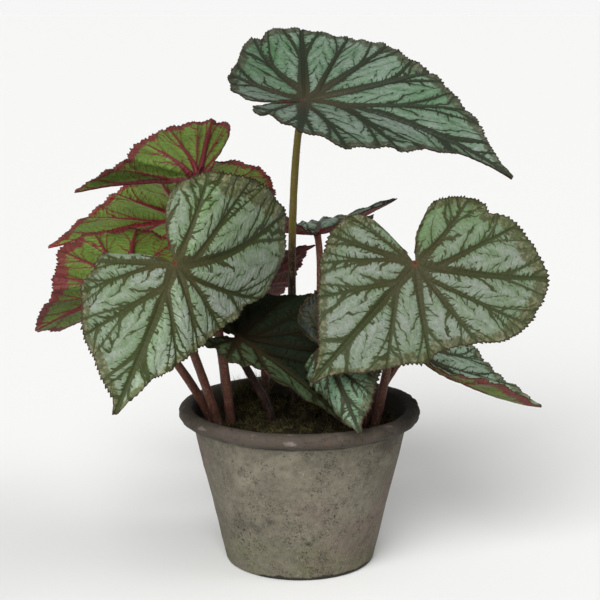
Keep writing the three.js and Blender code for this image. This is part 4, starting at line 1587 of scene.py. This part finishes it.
@dataclass
class Leaf:
    """One leaf: its blade, the fringe of hairs on its margin, and its stalk."""

    form: LeafForm
    finishes: Finishes
    seed: int
    # The length of a leaf with veins of full width, and the power by which a shorter one has less.
    full_length: float = 0.13
    vein_power: float = 0.7
    # The margin's teeth, whose height varies, and how far it swells out at each vein.
    tooth_pitch: float = 2.7 * MM
    tooth_height: float = 1.25 * MM
    tooth_columns: tuple[float, ...] = (0.0, 0.55, 1.0)
    tooth_range: Pair = (0.4, 1.5)
    vein_swell: float = 0.008
    tip_taper: float = 0.045
    row_pitch: float = 1.9 * MM
    thickness: float = 0.75 * MM
    rib_thickness: float = 2.3 * MM
    # How high the blade is puffed between veins, and waved and crinkled at its margin, so often in a turn.
    puff: float = 1.1 * MM
    wave: float = 2.0 * MM
    waves: float = 4.3
    crinkle: float = 0.75 * MM
    crinkles: float = 29
    # How deep the veins are sunk, and how high the cells between branches and fine pebbles stand.
    groove: float = 0.55 * MM
    quilt: float = 0.24 * MM
    pebble: float = 0.26 * MM
    pebbles_per_mm: float = 0.22
    hair_pitch: float = 1.5 * MM
    hair_length: float = 0.75 * MM
    hair_radius: float = 0.09 * MM
    hair_root: float = 0.2 * MM
    hair_depth: float = 0.35 * MM
    foot_radius: float = 3.2 * MM
    top_radius: float = 2.2 * MM
    foot_swell: float = 0.3
    top_swell: float = 0.22
    uneven: float = 0.05
    stalk_steps: int = 56
    stalk_sides: int = 14
    stalk_end: float = 1.2 * MM
    stalk_hair_pitch: float = 0.42 * MM
    stalk_hair_radius: float = 0.07 * MM

    def __post_init__(self) -> None:
        """Bends the sheet of this leaf."""
        self.sheet = LeafSheet(self.form)

    def height(self, at: BladePlaces) -> Array:
        """Gives the upper face's height over the middle of the blade.

        Args:
            at: The places on the blade.

        Returns:
            Heights in metres.
        """
        out = at.out
        between = at.vein - np.floor(at.vein)
        turned = self.sheet.gathered(at.angle)
        from_joint = np.hypot(at.spots[:, 0], at.spots[:, 1])
        puffed = self.puff * np.sin(np.pi * between) * np.sin(np.pi * np.minimum(out, 0.85))
        puffed *= smoothstep(1.5, 9.0, at.panel)
        waved = self.wave * np.sin(np.radians(self.waves * turned) + self.form.bend) * out**3
        seams = self.crinkle * np.sin(np.radians(self.crinkles * turned) + 5 * out)
        seams = seams * smoothstep(0.72, 1.0, out)
        groove = -self.groove * at.strength * np.exp(-((at.gap / 1.2) ** 2)) * smoothstep(0.02, 0.12, out)
        slant = (from_joint - VeinPattern.BRANCH_SLANT * at.gap) / VeinPattern.BRANCH_SPACING
        quilt = self.quilt * np.abs(np.sin(2 * np.pi * slant)) * smoothstep(0.8, 4.0, at.gap)
        spots = np.column_stack([at.spots, np.full(len(out), self.seed)])
        pebbled = self.pebble * fractal(spots, self.pebbles_per_mm, 2) * smoothstep(0, 0.2, out)
        return self.thickness / 2 + puffed + waved + seams + groove + quilt + pebbled

    def _columns(self) -> tuple[Array, int]:
        """Shares the margin's teeth among the panels between veins, each tooth with its columns.

        Returns:
            The place across the veins of each column's edge, and the number of teeth.
        """
        edges = [np.zeros(1)]
        each = len(self.tooth_columns)
        for panel in range(PANELS):
            angles = PLAN.end_angle(np.linspace(panel, panel + 1, 9))
            reach = PLAN.reach(angles) * self.sheet.margin(angles)
            a, b = self.sheet.flat(angles, reach)
            arc = np.hypot(np.diff(a), np.diff(b)).sum() * self.sheet.length
            teeth = max(2, round(arc / self.tooth_pitch))
            edges.append(panel + np.arange(1, each * teeth + 1) / (each * teeth))
        across = np.concatenate(edges)
        return across, (len(across) - 1) // each

    def _places(self, vein: Array, out: Array, outset: Array) -> BladePlaces:
        """Works out what the blade's shape and pattern need to know about places on it.

        Args:
            vein: Place across the veins.
            out: Share of the way to the margin.
            outset: Share by which a place lies further out than the outline says.

        Returns:
            The places.
        """
        length = self.sheet.length
        angle = PLAN.angle(vein, out)
        end = PLAN.end_angle(vein)
        share = 1 + (self.sheet.margin(end) - 1) * out
        beside_tip = smoothstep(0.3, 3.0, np.abs(end)) * smoothstep(15.0, 5.0, np.abs(end))
        share *= 1 - self.tip_taper * beside_tip * smoothstep(0.5, 1.0, out)
        edge = PLAN.reach(end)
        reach = out * edge * share * (1 + outset)
        a, b = self.sheet.flat(angle, reach)
        spots = np.column_stack([a, b]) * length / MM
        before = np.clip(np.floor(vein), 0, PANELS - 1)
        turned = (PLAN.angle(before, out), angle, PLAN.angle(before + 1, out))
        low, here, high = (self.sheet.gathered(each) for each in turned)
        one_degree = np.radians(1) * reach * length / MM
        gap = np.maximum(np.minimum(here - low, high - here), 0) * one_degree
        strength = PLAN.strength(vein, self.form.faint_veins) * (length / self.full_length) ** self.vein_power
        strength = strength * self.form.veined
        rim = (1 - out) * edge * self.sheet.margin(end) * length / MM
        return BladePlaces(vein, out, angle, reach, spots, gap, (high - low) * one_degree, strength, rim)

    def blade(self) -> Object:
        """Builds the blade.

        Returns:
            The blade, with its upper face, underside and rim in three materials.
        """
        across, teeth = self._columns()
        each = len(self.tooth_columns)
        rows = round(0.7 * self.sheet.length / self.row_pitch)
        mesh = unit_sheet(f"leaf_{self.form.name}", each * teeth, rows)
        grid = mesh_places(mesh)
        column = np.round(grid[:, 0] * each * teeth).astype(int)
        vein, out = across[column], grid[:, 1]
        rng = np.random.default_rng(self.seed)
        tooth = np.array(self.tooth_columns)[column % each]
        tooth = tooth * rng.uniform(*self.tooth_range, teeth + 1)[column // each]
        edge = PLAN.reach(PLAN.end_angle(vein)) * self.sheet.length
        outset = tooth * self.tooth_height / edge * smoothstep(0.955, 1.0, out)
        outset += self.vein_swell * (np.cos(2 * np.pi * vein) - 0.4) * smoothstep(0.6, 1.0, out)
        at = self._places(vein, out, outset)
        move_vertices(mesh, self.sheet.points(at.angle, at.reach, self.height(at)))
        self._describe(mesh, at)
        light = self.form.light
        materials = [TOP_FINISHES[light], UNDER_FINISHES[self.form.under], RIM_FINISHES[light]]
        made = finish_object(f"{self.form.name}_blade", mesh, [self.finishes.get(m) for m in materials])
        self._thicken(made, at)
        return made

    def _describe(self, mesh: Mesh, at: BladePlaces) -> None:
        """Stores what the finishes read of the leaf.

        Args:
            mesh: The blade's mesh.
            at: The places of its vertices.
        """
        blank = np.zeros(len(at.out))
        large, other = self.form.tone
        tone = other + (large - other) * smoothstep(-4.0, 4.0, at.spots[:, 1])
        (shade,) = between_stops(self.form.shade, at.angle)
        band, green = between_stops(self.form.growth, at.angle)
        add_attribute(mesh, "veins", np.column_stack([at.vein, at.out, at.gap]))
        add_attribute(mesh, "plane", np.column_stack([at.spots, at.rim]))
        # Noise is read ten millimetres further on for each leaf, so that no two have the same.
        add_attribute(mesh, "nature", np.column_stack([at.strength, blank + 10.0 * self.seed, tone * shade]))
        add_attribute(mesh, "growth", np.column_stack([band, green, blank]))

    def _thicken(self, made: Object, at: BladePlaces) -> None:
        """Gives the blade its thickness downwards, with ribs under the veins.

        Args:
            made: The blade, as a sheet.
            at: The places of its vertices.
        """
        rib = np.exp(-((at.gap / 0.9) ** 2)) * (1 - at.out) ** 0.7 * np.minimum(at.strength, 1)
        weight = (self.thickness + (self.rib_thickness - self.thickness) * rib) / self.rib_thickness
        group = made.vertex_groups.new(name="thick")
        for index, value in enumerate(weight):
            group.add([index], float(value), "REPLACE")
        solid = made.modifiers.new("thickness", "SOLIDIFY")
        solid.thickness = self.rib_thickness
        solid.offset = -1
        solid.vertex_group = "thick"
        solid.material_offset = 1
        solid.material_offset_rim = 2

    def fringe(self) -> Object:
        """Builds the hairs that stand out from the margin.

        Returns:
            The hairs, as one piece.
        """
        rng = np.random.default_rng(self.seed + 100)
        _, teeth = self._columns()
        count = round(teeth * self.tooth_pitch / self.hair_pitch)
        vein = np.sort(rng.uniform(0.3, PANELS - 0.3, count))
        edges = (self._places(vein, np.full(count, out), np.zeros(count)) for out in (0.985, 1.0))
        depth = self.hair_depth
        start, end = (self.sheet.points(at.angle, at.reach, self.height(at) - depth) for at in edges)
        outward = unit_vectors(end - start) + rng.normal(0, 0.35, (count, 3))
        roots = end - outward * self.hair_root
        tips = roots + outward * self.hair_length * rng.uniform(0.6, 1.4, (count, 1))
        radius = np.full(count, self.hair_radius)
        mesh = Strand(0).strew(f"leaf_{self.form.name}_fringe", roots, tips, radius)
        return finish_object(f"{self.form.name}_fringe", mesh, [self.finishes.get(FRINGE_FINISH)])

    def stalk_line(self, steps: int) -> list[Vector]:
        """Gives points along the stalk, from its foot to the underside of the blade.

        Args:
            steps: Number of steps.

        Returns:
            The points.
        """
        start, lower = Vector(self.form.foot), Vector(self.form.lower)
        upper = self.sheet.joint - self.sheet.up * self.form.lead
        end = self.sheet.joint - self.sheet.up * self.stalk_end
        points = []
        for step in range(steps + 1):
            t = step / steps
            s = 1 - t
            points.append(s**3 * start + 3 * s * s * t * lower + 3 * s * t * t * upper + t**3 * end)
        return points

    def stalk_radius(self, share: Array | float) -> Array | float:
        """Gives the stalk's plain radius at a share of the way up."""
        return self.foot_radius + (self.top_radius - self.foot_radius) * np.sqrt(share)

    def stalk(self) -> Object:
        """Builds the stalk, thicker at its foot and under the blade.

        Returns:
            The stalk.
        """
        steps = self.stalk_steps
        line = self.stalk_line(steps)
        bm = bmesh.new()
        made = bmesh.ops.create_circle(bm, cap_ends=True, segments=self.stalk_sides, radius=1.0)
        ring = made["verts"]
        unit = [v.co.copy() for v in ring]
        edges = bm.edges[:]
        side = Vector((1, 0, 0))
        for index, point in enumerate(line):
            before, after = line[max(index - 1, 0)], line[min(index + 1, steps)]
            ahead = (after - before).normalized()
            side = (side - ahead * side.dot(ahead)).normalized()
            other = ahead.cross(side)
            share = index / steps
            swell = self.foot_swell * math.exp(-share * 14) + self.top_swell * math.exp(-(1 - share) * 34)
            radius = self.stalk_radius(share) * (1 + swell) * (1 + self.uneven * noise.noise(point * 160))
            if index:
                extruded = bmesh.ops.extrude_edge_only(bm, edges=edges)["geom"]
                ring = [g for g in extruded if isinstance(g, bmesh.types.BMVert)]
                edges = [g for g in extruded if isinstance(g, bmesh.types.BMEdge)]
            for vertex, (x, y, _) in zip(ring, unit):
                vertex.co = point + (side * x + other * y) * radius
        bmesh.ops.edgeloop_fill(bm, edges=edges)
        bmesh.ops.recalc_face_normals(bm, faces=bm.faces)
        mesh = to_mesh(bm, f"leaf_{self.form.name}_stalk")
        finish = STALK_FINISHES.get(self.form.name, RED_STALK)
        return finish_object(f"{self.form.name}_stalk", mesh, [self.finishes.get(finish)])

    def stalk_hair(self) -> Object:
        """Builds the short hairs on the stalk.

        Returns:
            The hairs, as one piece.
        """
        rng = np.random.default_rng(self.seed + 200)
        steps = 80
        line = np.array(self.stalk_line(steps))
        tangents = unit_vectors(np.gradient(line, axis=0))
        length = np.linalg.norm(np.diff(line, axis=0), axis=1).sum()
        count = round(length / self.stalk_hair_pitch)
        share = rng.uniform(0.1, 0.99, count)
        index = (share * steps).astype(int)
        around = rng.normal(0, 1, (count, 3))
        around -= tangents[index] * np.sum(around * tangents[index], axis=1, keepdims=True)
        around = unit_vectors(around)
        centres = line[index] + tangents[index] * rng.uniform(-0.5, 0.5, (count, 1)) * length / steps
        roots = centres + around * (self.stalk_radius(share)[:, None] - 0.15 * MM)
        tips = roots + (around + rng.normal(0, 0.3, (count, 3))) * rng.uniform(0.4, 0.95, (count, 1)) * MM
        radius = np.full(count, self.stalk_hair_radius)
        mesh = Strand(0).strew(f"leaf_{self.form.name}_hair", roots, tips, radius)
        # The stalks in the shade take the darker fringe hairs, as painted shade.
        finish = FRINGE_FINISH if self.form.name in STALK_FINISHES else STALK_HAIR_FINISH
        return finish_object(f"{self.form.name}_hair", mesh, [self.finishes.get(finish)])

    def build(self) -> None:
        """Builds the leaf's pieces and sets them on the part."""
        name = self.form.name
        blade, fringe, stalk, hair = self.blade(), self.fringe(), self.stalk(), self.stalk_hair()
        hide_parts(f"leaf_{name}_blade")
        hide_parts(f"leaf_{name}_stalk")
        for piece, slot in ((blade, "leaf"), (fringe, "leaf"), (stalk, "stalk"), (hair, "stalk")):
            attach(piece, "root")
        LOG.info("leaf %s: %d faces in its blade", name, len(blade.data.polygons))


@dataclass
class Pot:
    """The round pot: a plain cone with a rolled lip, chipped and uneven."""

    finishes: Finishes
    foot_radius: float = 0.0465
    foot_round: float = 0.0022
    # Where the wall ends, and the lip's outline from there to its inner edge, as radius and height.
    neck: Pair = (0.0663, 0.088)
    lip_radius: float = 0.075
    lip: tuple[Pair, ...] = (
        (0.0669, 0.088), (0.0685, 0.0888), (0.0715, 0.0898), (0.0738, 0.0912), (0.0748, 0.093),
        (0.0748, 0.095), (0.074, 0.0968), (0.0724, 0.0978), (0.0702, 0.098), (0.0675, 0.0978),
        (0.0661, 0.0968), (0.0655, 0.0952),
    )
    floor_height: float = 0.008
    floor_radius: float = 0.042
    # Faces round the pot, and along its foot, its wall, its inside and each flat disc.
    steps: int = 180
    foot_steps: int = 4
    wall_steps: int = 25
    inside_steps: int = 8
    disc_steps: int = 4
    # How deep the wall's unevenness is, and how far the lip and its lower edge rise and fall.
    uneven: float = 0.0004
    fine_uneven: float = 0.00012
    lip_wander: float = 0.0007
    under_wander: float = 0.0012
    crumble: float = 0.0013
    # Angle round the pot, height, and depth of each chip in the lip, and their width.
    chips: tuple[Point, ...] = (
        (212, 0.0975, 0.0016), (236, 0.0972, 0.0012), (331, 0.0955, 0.0018), (285, 0.0978, 0.0010),
        (60, 0.097, 0.0015), (352, 0.0965, 0.0026), (3, 0.0972, 0.0022), (12, 0.0960, 0.0024),
        (186, 0.0968, 0.0018), (148, 0.0974, 0.0016), (98, 0.0966, 0.0014),
    )
    chip_span: Pair = (0.0055, 0.001)

    def _line(self, start: Pair, end: Pair, steps: int) -> list[Pair]:
        """Lists the points between two points of the outline, at even steps."""
        shares = [step / steps for step in range(1, steps)]
        return [tuple(a + (b - a) * share for a, b in zip(start, end)) for share in shares]

    def profile(self) -> list[Pair]:
        """Lists the wall's outline as radius and height, from the underside's middle over the lip.

        Returns:
            The outline's points.
        """
        bend = self.foot_round
        turns = [math.radians(90 * step / self.foot_steps) for step in range(self.foot_steps + 1)]
        inner = self.foot_radius - bend
        foot = [(inner + bend * math.sin(turn), bend - bend * math.cos(turn)) for turn in turns]
        wall = self._line(foot[-1], self.neck, self.wall_steps)
        bottom, corner, middle = (0.0, 0.0), (self.floor_radius, self.floor_height), (0.0, self.floor_height)
        inside = [*self._line(self.lip[-1], corner, self.inside_steps), corner]
        under = self._line(bottom, foot[0], self.disc_steps)
        floor = self._line(corner, middle, self.disc_steps)
        return [bottom, *under, *foot, *wall, *self.lip, *inside, *floor, middle]

    def build(self) -> None:
        """Spins the wall, wears its surface and sets it on the part."""
        bm = bmesh.new()
        outline = [bm.verts.new((radius, 0.0, height)) for radius, height in self.profile()]
        edges = [bm.edges.new(pair) for pair in zip(outline, outline[1:])]
        bmesh.ops.spin(
            bm, geom=outline + edges, cent=(0, 0, 0), axis=(0, 0, 1), angle=math.tau, steps=self.steps,
            use_merge=True,
        )
        close_up(bm)
        mesh = to_mesh(bm, "pot_wall")
        self.wear(mesh)
        pot = finish_object("pot_wall", mesh, [self.finishes.get(PotFinish())])
        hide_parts("pot")
        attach(pot, "root")
        LOG.info("pot: %d faces", len(mesh.polygons))

    def wear(self, mesh: Mesh) -> None:
        """Makes the wall a little uneven and knocks the chips out of its lip.

        Args:
            mesh: The spun wall.
        """
        places = mesh_places(mesh)
        radius = np.hypot(places[:, 0], places[:, 1])
        outward = np.column_stack([places[:, 0], places[:, 1], np.zeros(len(places))])
        outward /= np.maximum(radius, DOUBLES)[:, None]
        uneven = self.uneven * fractal(places, 40, 3) + self.fine_uneven * fractal(places, 260, 2)
        standing = smoothstep(0.0, 0.006, places[:, 2]) * smoothstep(0.02, 0.04, radius)
        lip = smoothstep(0.087, 0.092, places[:, 2])
        uneven *= standing * (1 + 0.8 * lip)
        places += outward * uneven[:, None]
        places[:, 2] += self.lip_wander * lip * fractal(places, 22, 2)
        under = smoothstep(0.0862, 0.0876, places[:, 2]) * smoothstep(0.0925, 0.09, places[:, 2])
        places[:, 2] += self.under_wander * under * smoothstep(0.066, 0.068, radius) * fractal(places, 45, 2)
        right = smoothstep(0.05, 0.066, places[:, 0]) * lip
        places -= outward * (self.crumble * right * np.abs(fractal(places, 170, 2)))[:, None]
        for turn, height, depth in self.chips:
            turn = math.radians(turn)
            centre = (self.lip_radius * math.cos(turn), self.lip_radius * math.sin(turn), height)
            away = np.linalg.norm(places - np.array(centre), axis=1)
            hit = depth * smoothstep(*self.chip_span, away) * (1 + 0.4 * fractal(places, 300, 1))
            places -= outward * hit[:, None]
            places[:, 2] -= 0.5 * hit
        move_vertices(mesh, places)


@dataclass
class Soil:
    """The potting mix that fills the pot, with moss on it."""

    finishes: Finishes
    level: float = 0.085
    # How high the upper face is domed in all, and how high its lumps, clumps and crumbs are.
    dome: float = 0.0025
    dome_radius: float = 0.062
    lump: float = 0.0015
    clump: float = 0.0042
    crumb: float = 0.0013
    fine_crumb: float = 0.0007
    edge_drop: float = 0.0025
    bottom: float = 0.0085
    edge_radius: float = 0.0607
    bottom_radius: float = 0.0415
    columns: int = 200
    rows: int = 84
    # Which share of the rows makes the upper face.
    top_share: float = 0.8
    strands: int = 4600
    strand_length: float = 0.0068
    strand_radius: Pair = (0.16 * MM, 0.34 * MM)
    strand_sag: float = 0.12
    moss_spread: float = 0.985
    # A tuft of longer and thicker sprigs stands up over the rim behind the stalks.
    sprigs: int = 260
    sprig_place: Pair = (-0.034, 0.0455)
    sprig_spread: float = 0.0042
    sprig_rise: float = 1.45
    sprig_length: float = 2.05
    sprig_width: float = 1.6

    def top(self, places: Array) -> Array:
        """Gives the height of the mix's upper face.

        Args:
            places: Points, of which only x and y count.

        Returns:
            Heights.
        """
        x, y = places[:, 0] / MM, places[:, 1] / MM
        swell = self.dome * (1 - (x * x + y * y) / (self.dome_radius / MM) ** 2)
        lumps = np.sin(0.21 * x + 1) * np.cos(0.19 * y) + 0.6 * np.sin(0.43 * y + 0.37 * x)
        flat = np.column_stack([places[:, 0], places[:, 1], np.zeros(len(places))])
        crumbs = self.crumb * fractal(flat, 150, 3) + self.fine_crumb * fractal(flat, 520, 2)
        clumps = self.clump * smoothstep(0.0, 0.5, fractal(flat, 70, 2))
        return self.level + swell + self.lump * lumps + clumps + crumbs

    def build(self) -> None:
        """Builds the mix and the moss, and sets them on the part."""
        bed = self.bed()
        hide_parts("soil")
        moss = self.moss()
        for piece in (bed, moss):
            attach(piece, "root")
        LOG.info("soil: %d faces, moss: %d faces", len(bed.data.polygons), len(moss.data.polygons))

    def bed(self) -> Object:
        """Builds the mix: its uneven upper face, then its side, then its bottom.

        Returns:
            The mix.
        """
        mesh = unit_sheet("soil_bed", self.columns, self.rows)
        grid = mesh_places(mesh)
        turn, out = grid[:, 0] * math.tau, grid[:, 1]
        radius = np.minimum(out / self.top_share, 1) * self.edge_radius
        down = np.clip((out - self.top_share) / (1 - self.top_share), 0, 1)
        wall = np.clip(down * 1.25, 0, 1)
        radius = np.where(down > 0, self.edge_radius + (self.bottom_radius - self.edge_radius) * wall, radius)
        radius = radius * np.clip((1 - down) / 0.2, 0, 1)
        places = np.column_stack([radius * np.cos(turn), radius * np.sin(turn), np.zeros(len(grid))])
        top = self.top(places) - self.edge_drop * smoothstep(0.93, 1.0, radius / self.edge_radius)
        places[:, 2] = np.where(down > 0, top + (self.bottom - top) * wall, top)
        move_vertices(mesh, places)
        bm = bmesh.new()
        bm.from_mesh(mesh)
        close_up(bm)
        bm.to_mesh(mesh)
        bm.free()
        return finish_object("soil_bed", mesh, [self.finishes.get(SOIL_FINISH)])

    def moss(self) -> Object:
        """Builds the moss: short bent strands, thicker in some places than in others.

        Returns:
            The moss, as one piece.
        """
        rng = np.random.default_rng(7)
        moss_edge = self.edge_radius * self.moss_spread
        spread = moss_edge * np.sqrt(rng.uniform(0, 1, self.strands * 2))
        turn = rng.uniform(0, math.tau, self.strands * 2)
        places = np.column_stack([spread * np.cos(turn), spread * np.sin(turn), np.zeros(len(turn))])
        thick = fractal(places, 55, 2)
        places = places[np.argsort(-thick + rng.normal(0, 0.5, len(thick)))][: self.strands]
        sprig = np.arange(len(places)) < self.sprigs
        places[sprig, :2] = np.array(self.sprig_place) + rng.normal(0, self.sprig_spread, (self.sprigs, 2))
        places[:, :2] /= np.maximum(np.hypot(places[:, 0], places[:, 1]) / moss_edge, 1)[:, None]
        places[:, 2] = self.top(places) - 0.0006
        lean = rng.normal(0, 0.75, (len(places), 3))
        lean[:, 2] = rng.uniform(0.25, 1.0, len(places))
        lean = unit_vectors(lean)
        lean[sprig, 2] = self.sprig_rise
        reach = self.strand_length * np.where(sprig, self.sprig_length, 1.0)[:, None]
        tips = places + lean * reach * rng.uniform(0.4, 1.2, (len(places), 1))
        inside = np.hypot(tips[:, 0], tips[:, 1]) / self.edge_radius
        tips[:, :2] /= np.maximum(inside, 1)[:, None]
        radius = rng.uniform(*self.strand_radius, len(places)) * np.where(sprig, self.sprig_width, 1.0)
        mesh = Strand(2).strew("moss", places, tips, radius, self.strand_sag)
        return finish_object("moss", mesh, [self.finishes.get(STRAND_FINISH)])


@dataclass
class Studio:
    """The pale floor, the soft lights and the camera."""

    camera_place: Point = (0.0, -0.898, 0.341)
    camera_pitch: float = 11.2
    lens: float = 90.0
    sensor_width: float = 36.0
    floor_size: float = 100.0
    floor_colour: Rgb = srgb(220, 220, 219)
    # Each light: name, strength, how wide it looks, its height over the floor and its turn to the left.
    lamps: tuple[tuple[str, float, float, float, float], ...] = (
        ("key", 3.9, 44.0, 38.0, 18.0),
        ("fill", 1.1, 40.0, 44.0, -82.0),
    )
    # How bright the surroundings are overhead and at the horizon, and over which heights they change.
    ambient: float = 0.3
    horizon: float = 0.925
    glow_span: Pair = (0.28, 0.02)

    def build(self) -> None:
        """Sets up the floor, the lights, the surroundings and the camera."""
        self._floor()
        self._lights()
        self._camera()

    def _floor(self) -> None:
        """Lays the floor, so wide that it reaches the horizon."""
        bm = bmesh.new()
        bmesh.ops.create_grid(bm, x_segments=4, y_segments=4, size=self.floor_size / 2)
        surface = Surface("floor")
        roughness = surface.nodes.noise(surface.place, 40.0) * 0.1 + 0.85
        surface.dress(self.floor_colour, roughness, specular=0.1)
        finish_object("floor", to_mesh(bm, "floor"), [surface.material])

    def _lights(self) -> None:
        """Sets two broad soft lights, and pale surroundings that glow at the horizon."""
        for name, strength, width, rise, turn in self.lamps:
            lamp = bpy.data.lights.new(name, "SUN")
            lamp.energy = strength
            lamp.angle = math.radians(width)
            made = bpy.data.objects.new(name, lamp)
            rise, turn = math.radians(rise), math.radians(turn)
            level = math.cos(rise)
            towards = Vector((-math.sin(turn) * level, -math.cos(turn) * level, math.sin(rise)))
            made.rotation_euler = (-towards).to_track_quat("-Z", "Y").to_euler()
            bpy.context.scene.collection.objects.link(made)
        world = bpy.data.worlds.new("studio")
        world.use_nodes = True
        n = Nodes(world.node_tree)
        direction = n.value("ShaderNodeTexCoord", output="Generated")
        glow = n.ease(abs(n.split(direction)[2]), *self.glow_span)
        background = world.node_tree.nodes["Background"]
        n.feed(background.inputs["Strength"], glow * (self.horizon - self.ambient) + self.ambient)
        n.feed(background.inputs["Color"], (1.0, 1.0, 1.0))
        bpy.context.scene.world = world
        bpy.context.scene.view_settings.view_transform = "Standard"

    def _camera(self) -> None:
        """Sets the camera at the photograph's place and angle."""
        camera = bpy.data.cameras.new("camera")
        camera.lens = self.lens
        camera.sensor_width = self.sensor_width
        made = bpy.data.objects.new("camera", camera)
        made.location = self.camera_place
        made.rotation_euler = Euler((math.radians(90 - self.camera_pitch), 0, 0))
        bpy.context.scene.collection.objects.link(made)
        bpy.context.scene.camera = made


def main() -> None:
    """Builds the whole scene and reports each piece."""
    logging.basicConfig(level=logging.INFO, format="%(message)s")
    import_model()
    finishes = Finishes()
    Studio().build()
    Pot(finishes).build()
    Soil(finishes).build()
    for seed, form in enumerate(LEAVES):
        Leaf(form, finishes, seed).build()


if __name__ == "__main__":
    main()
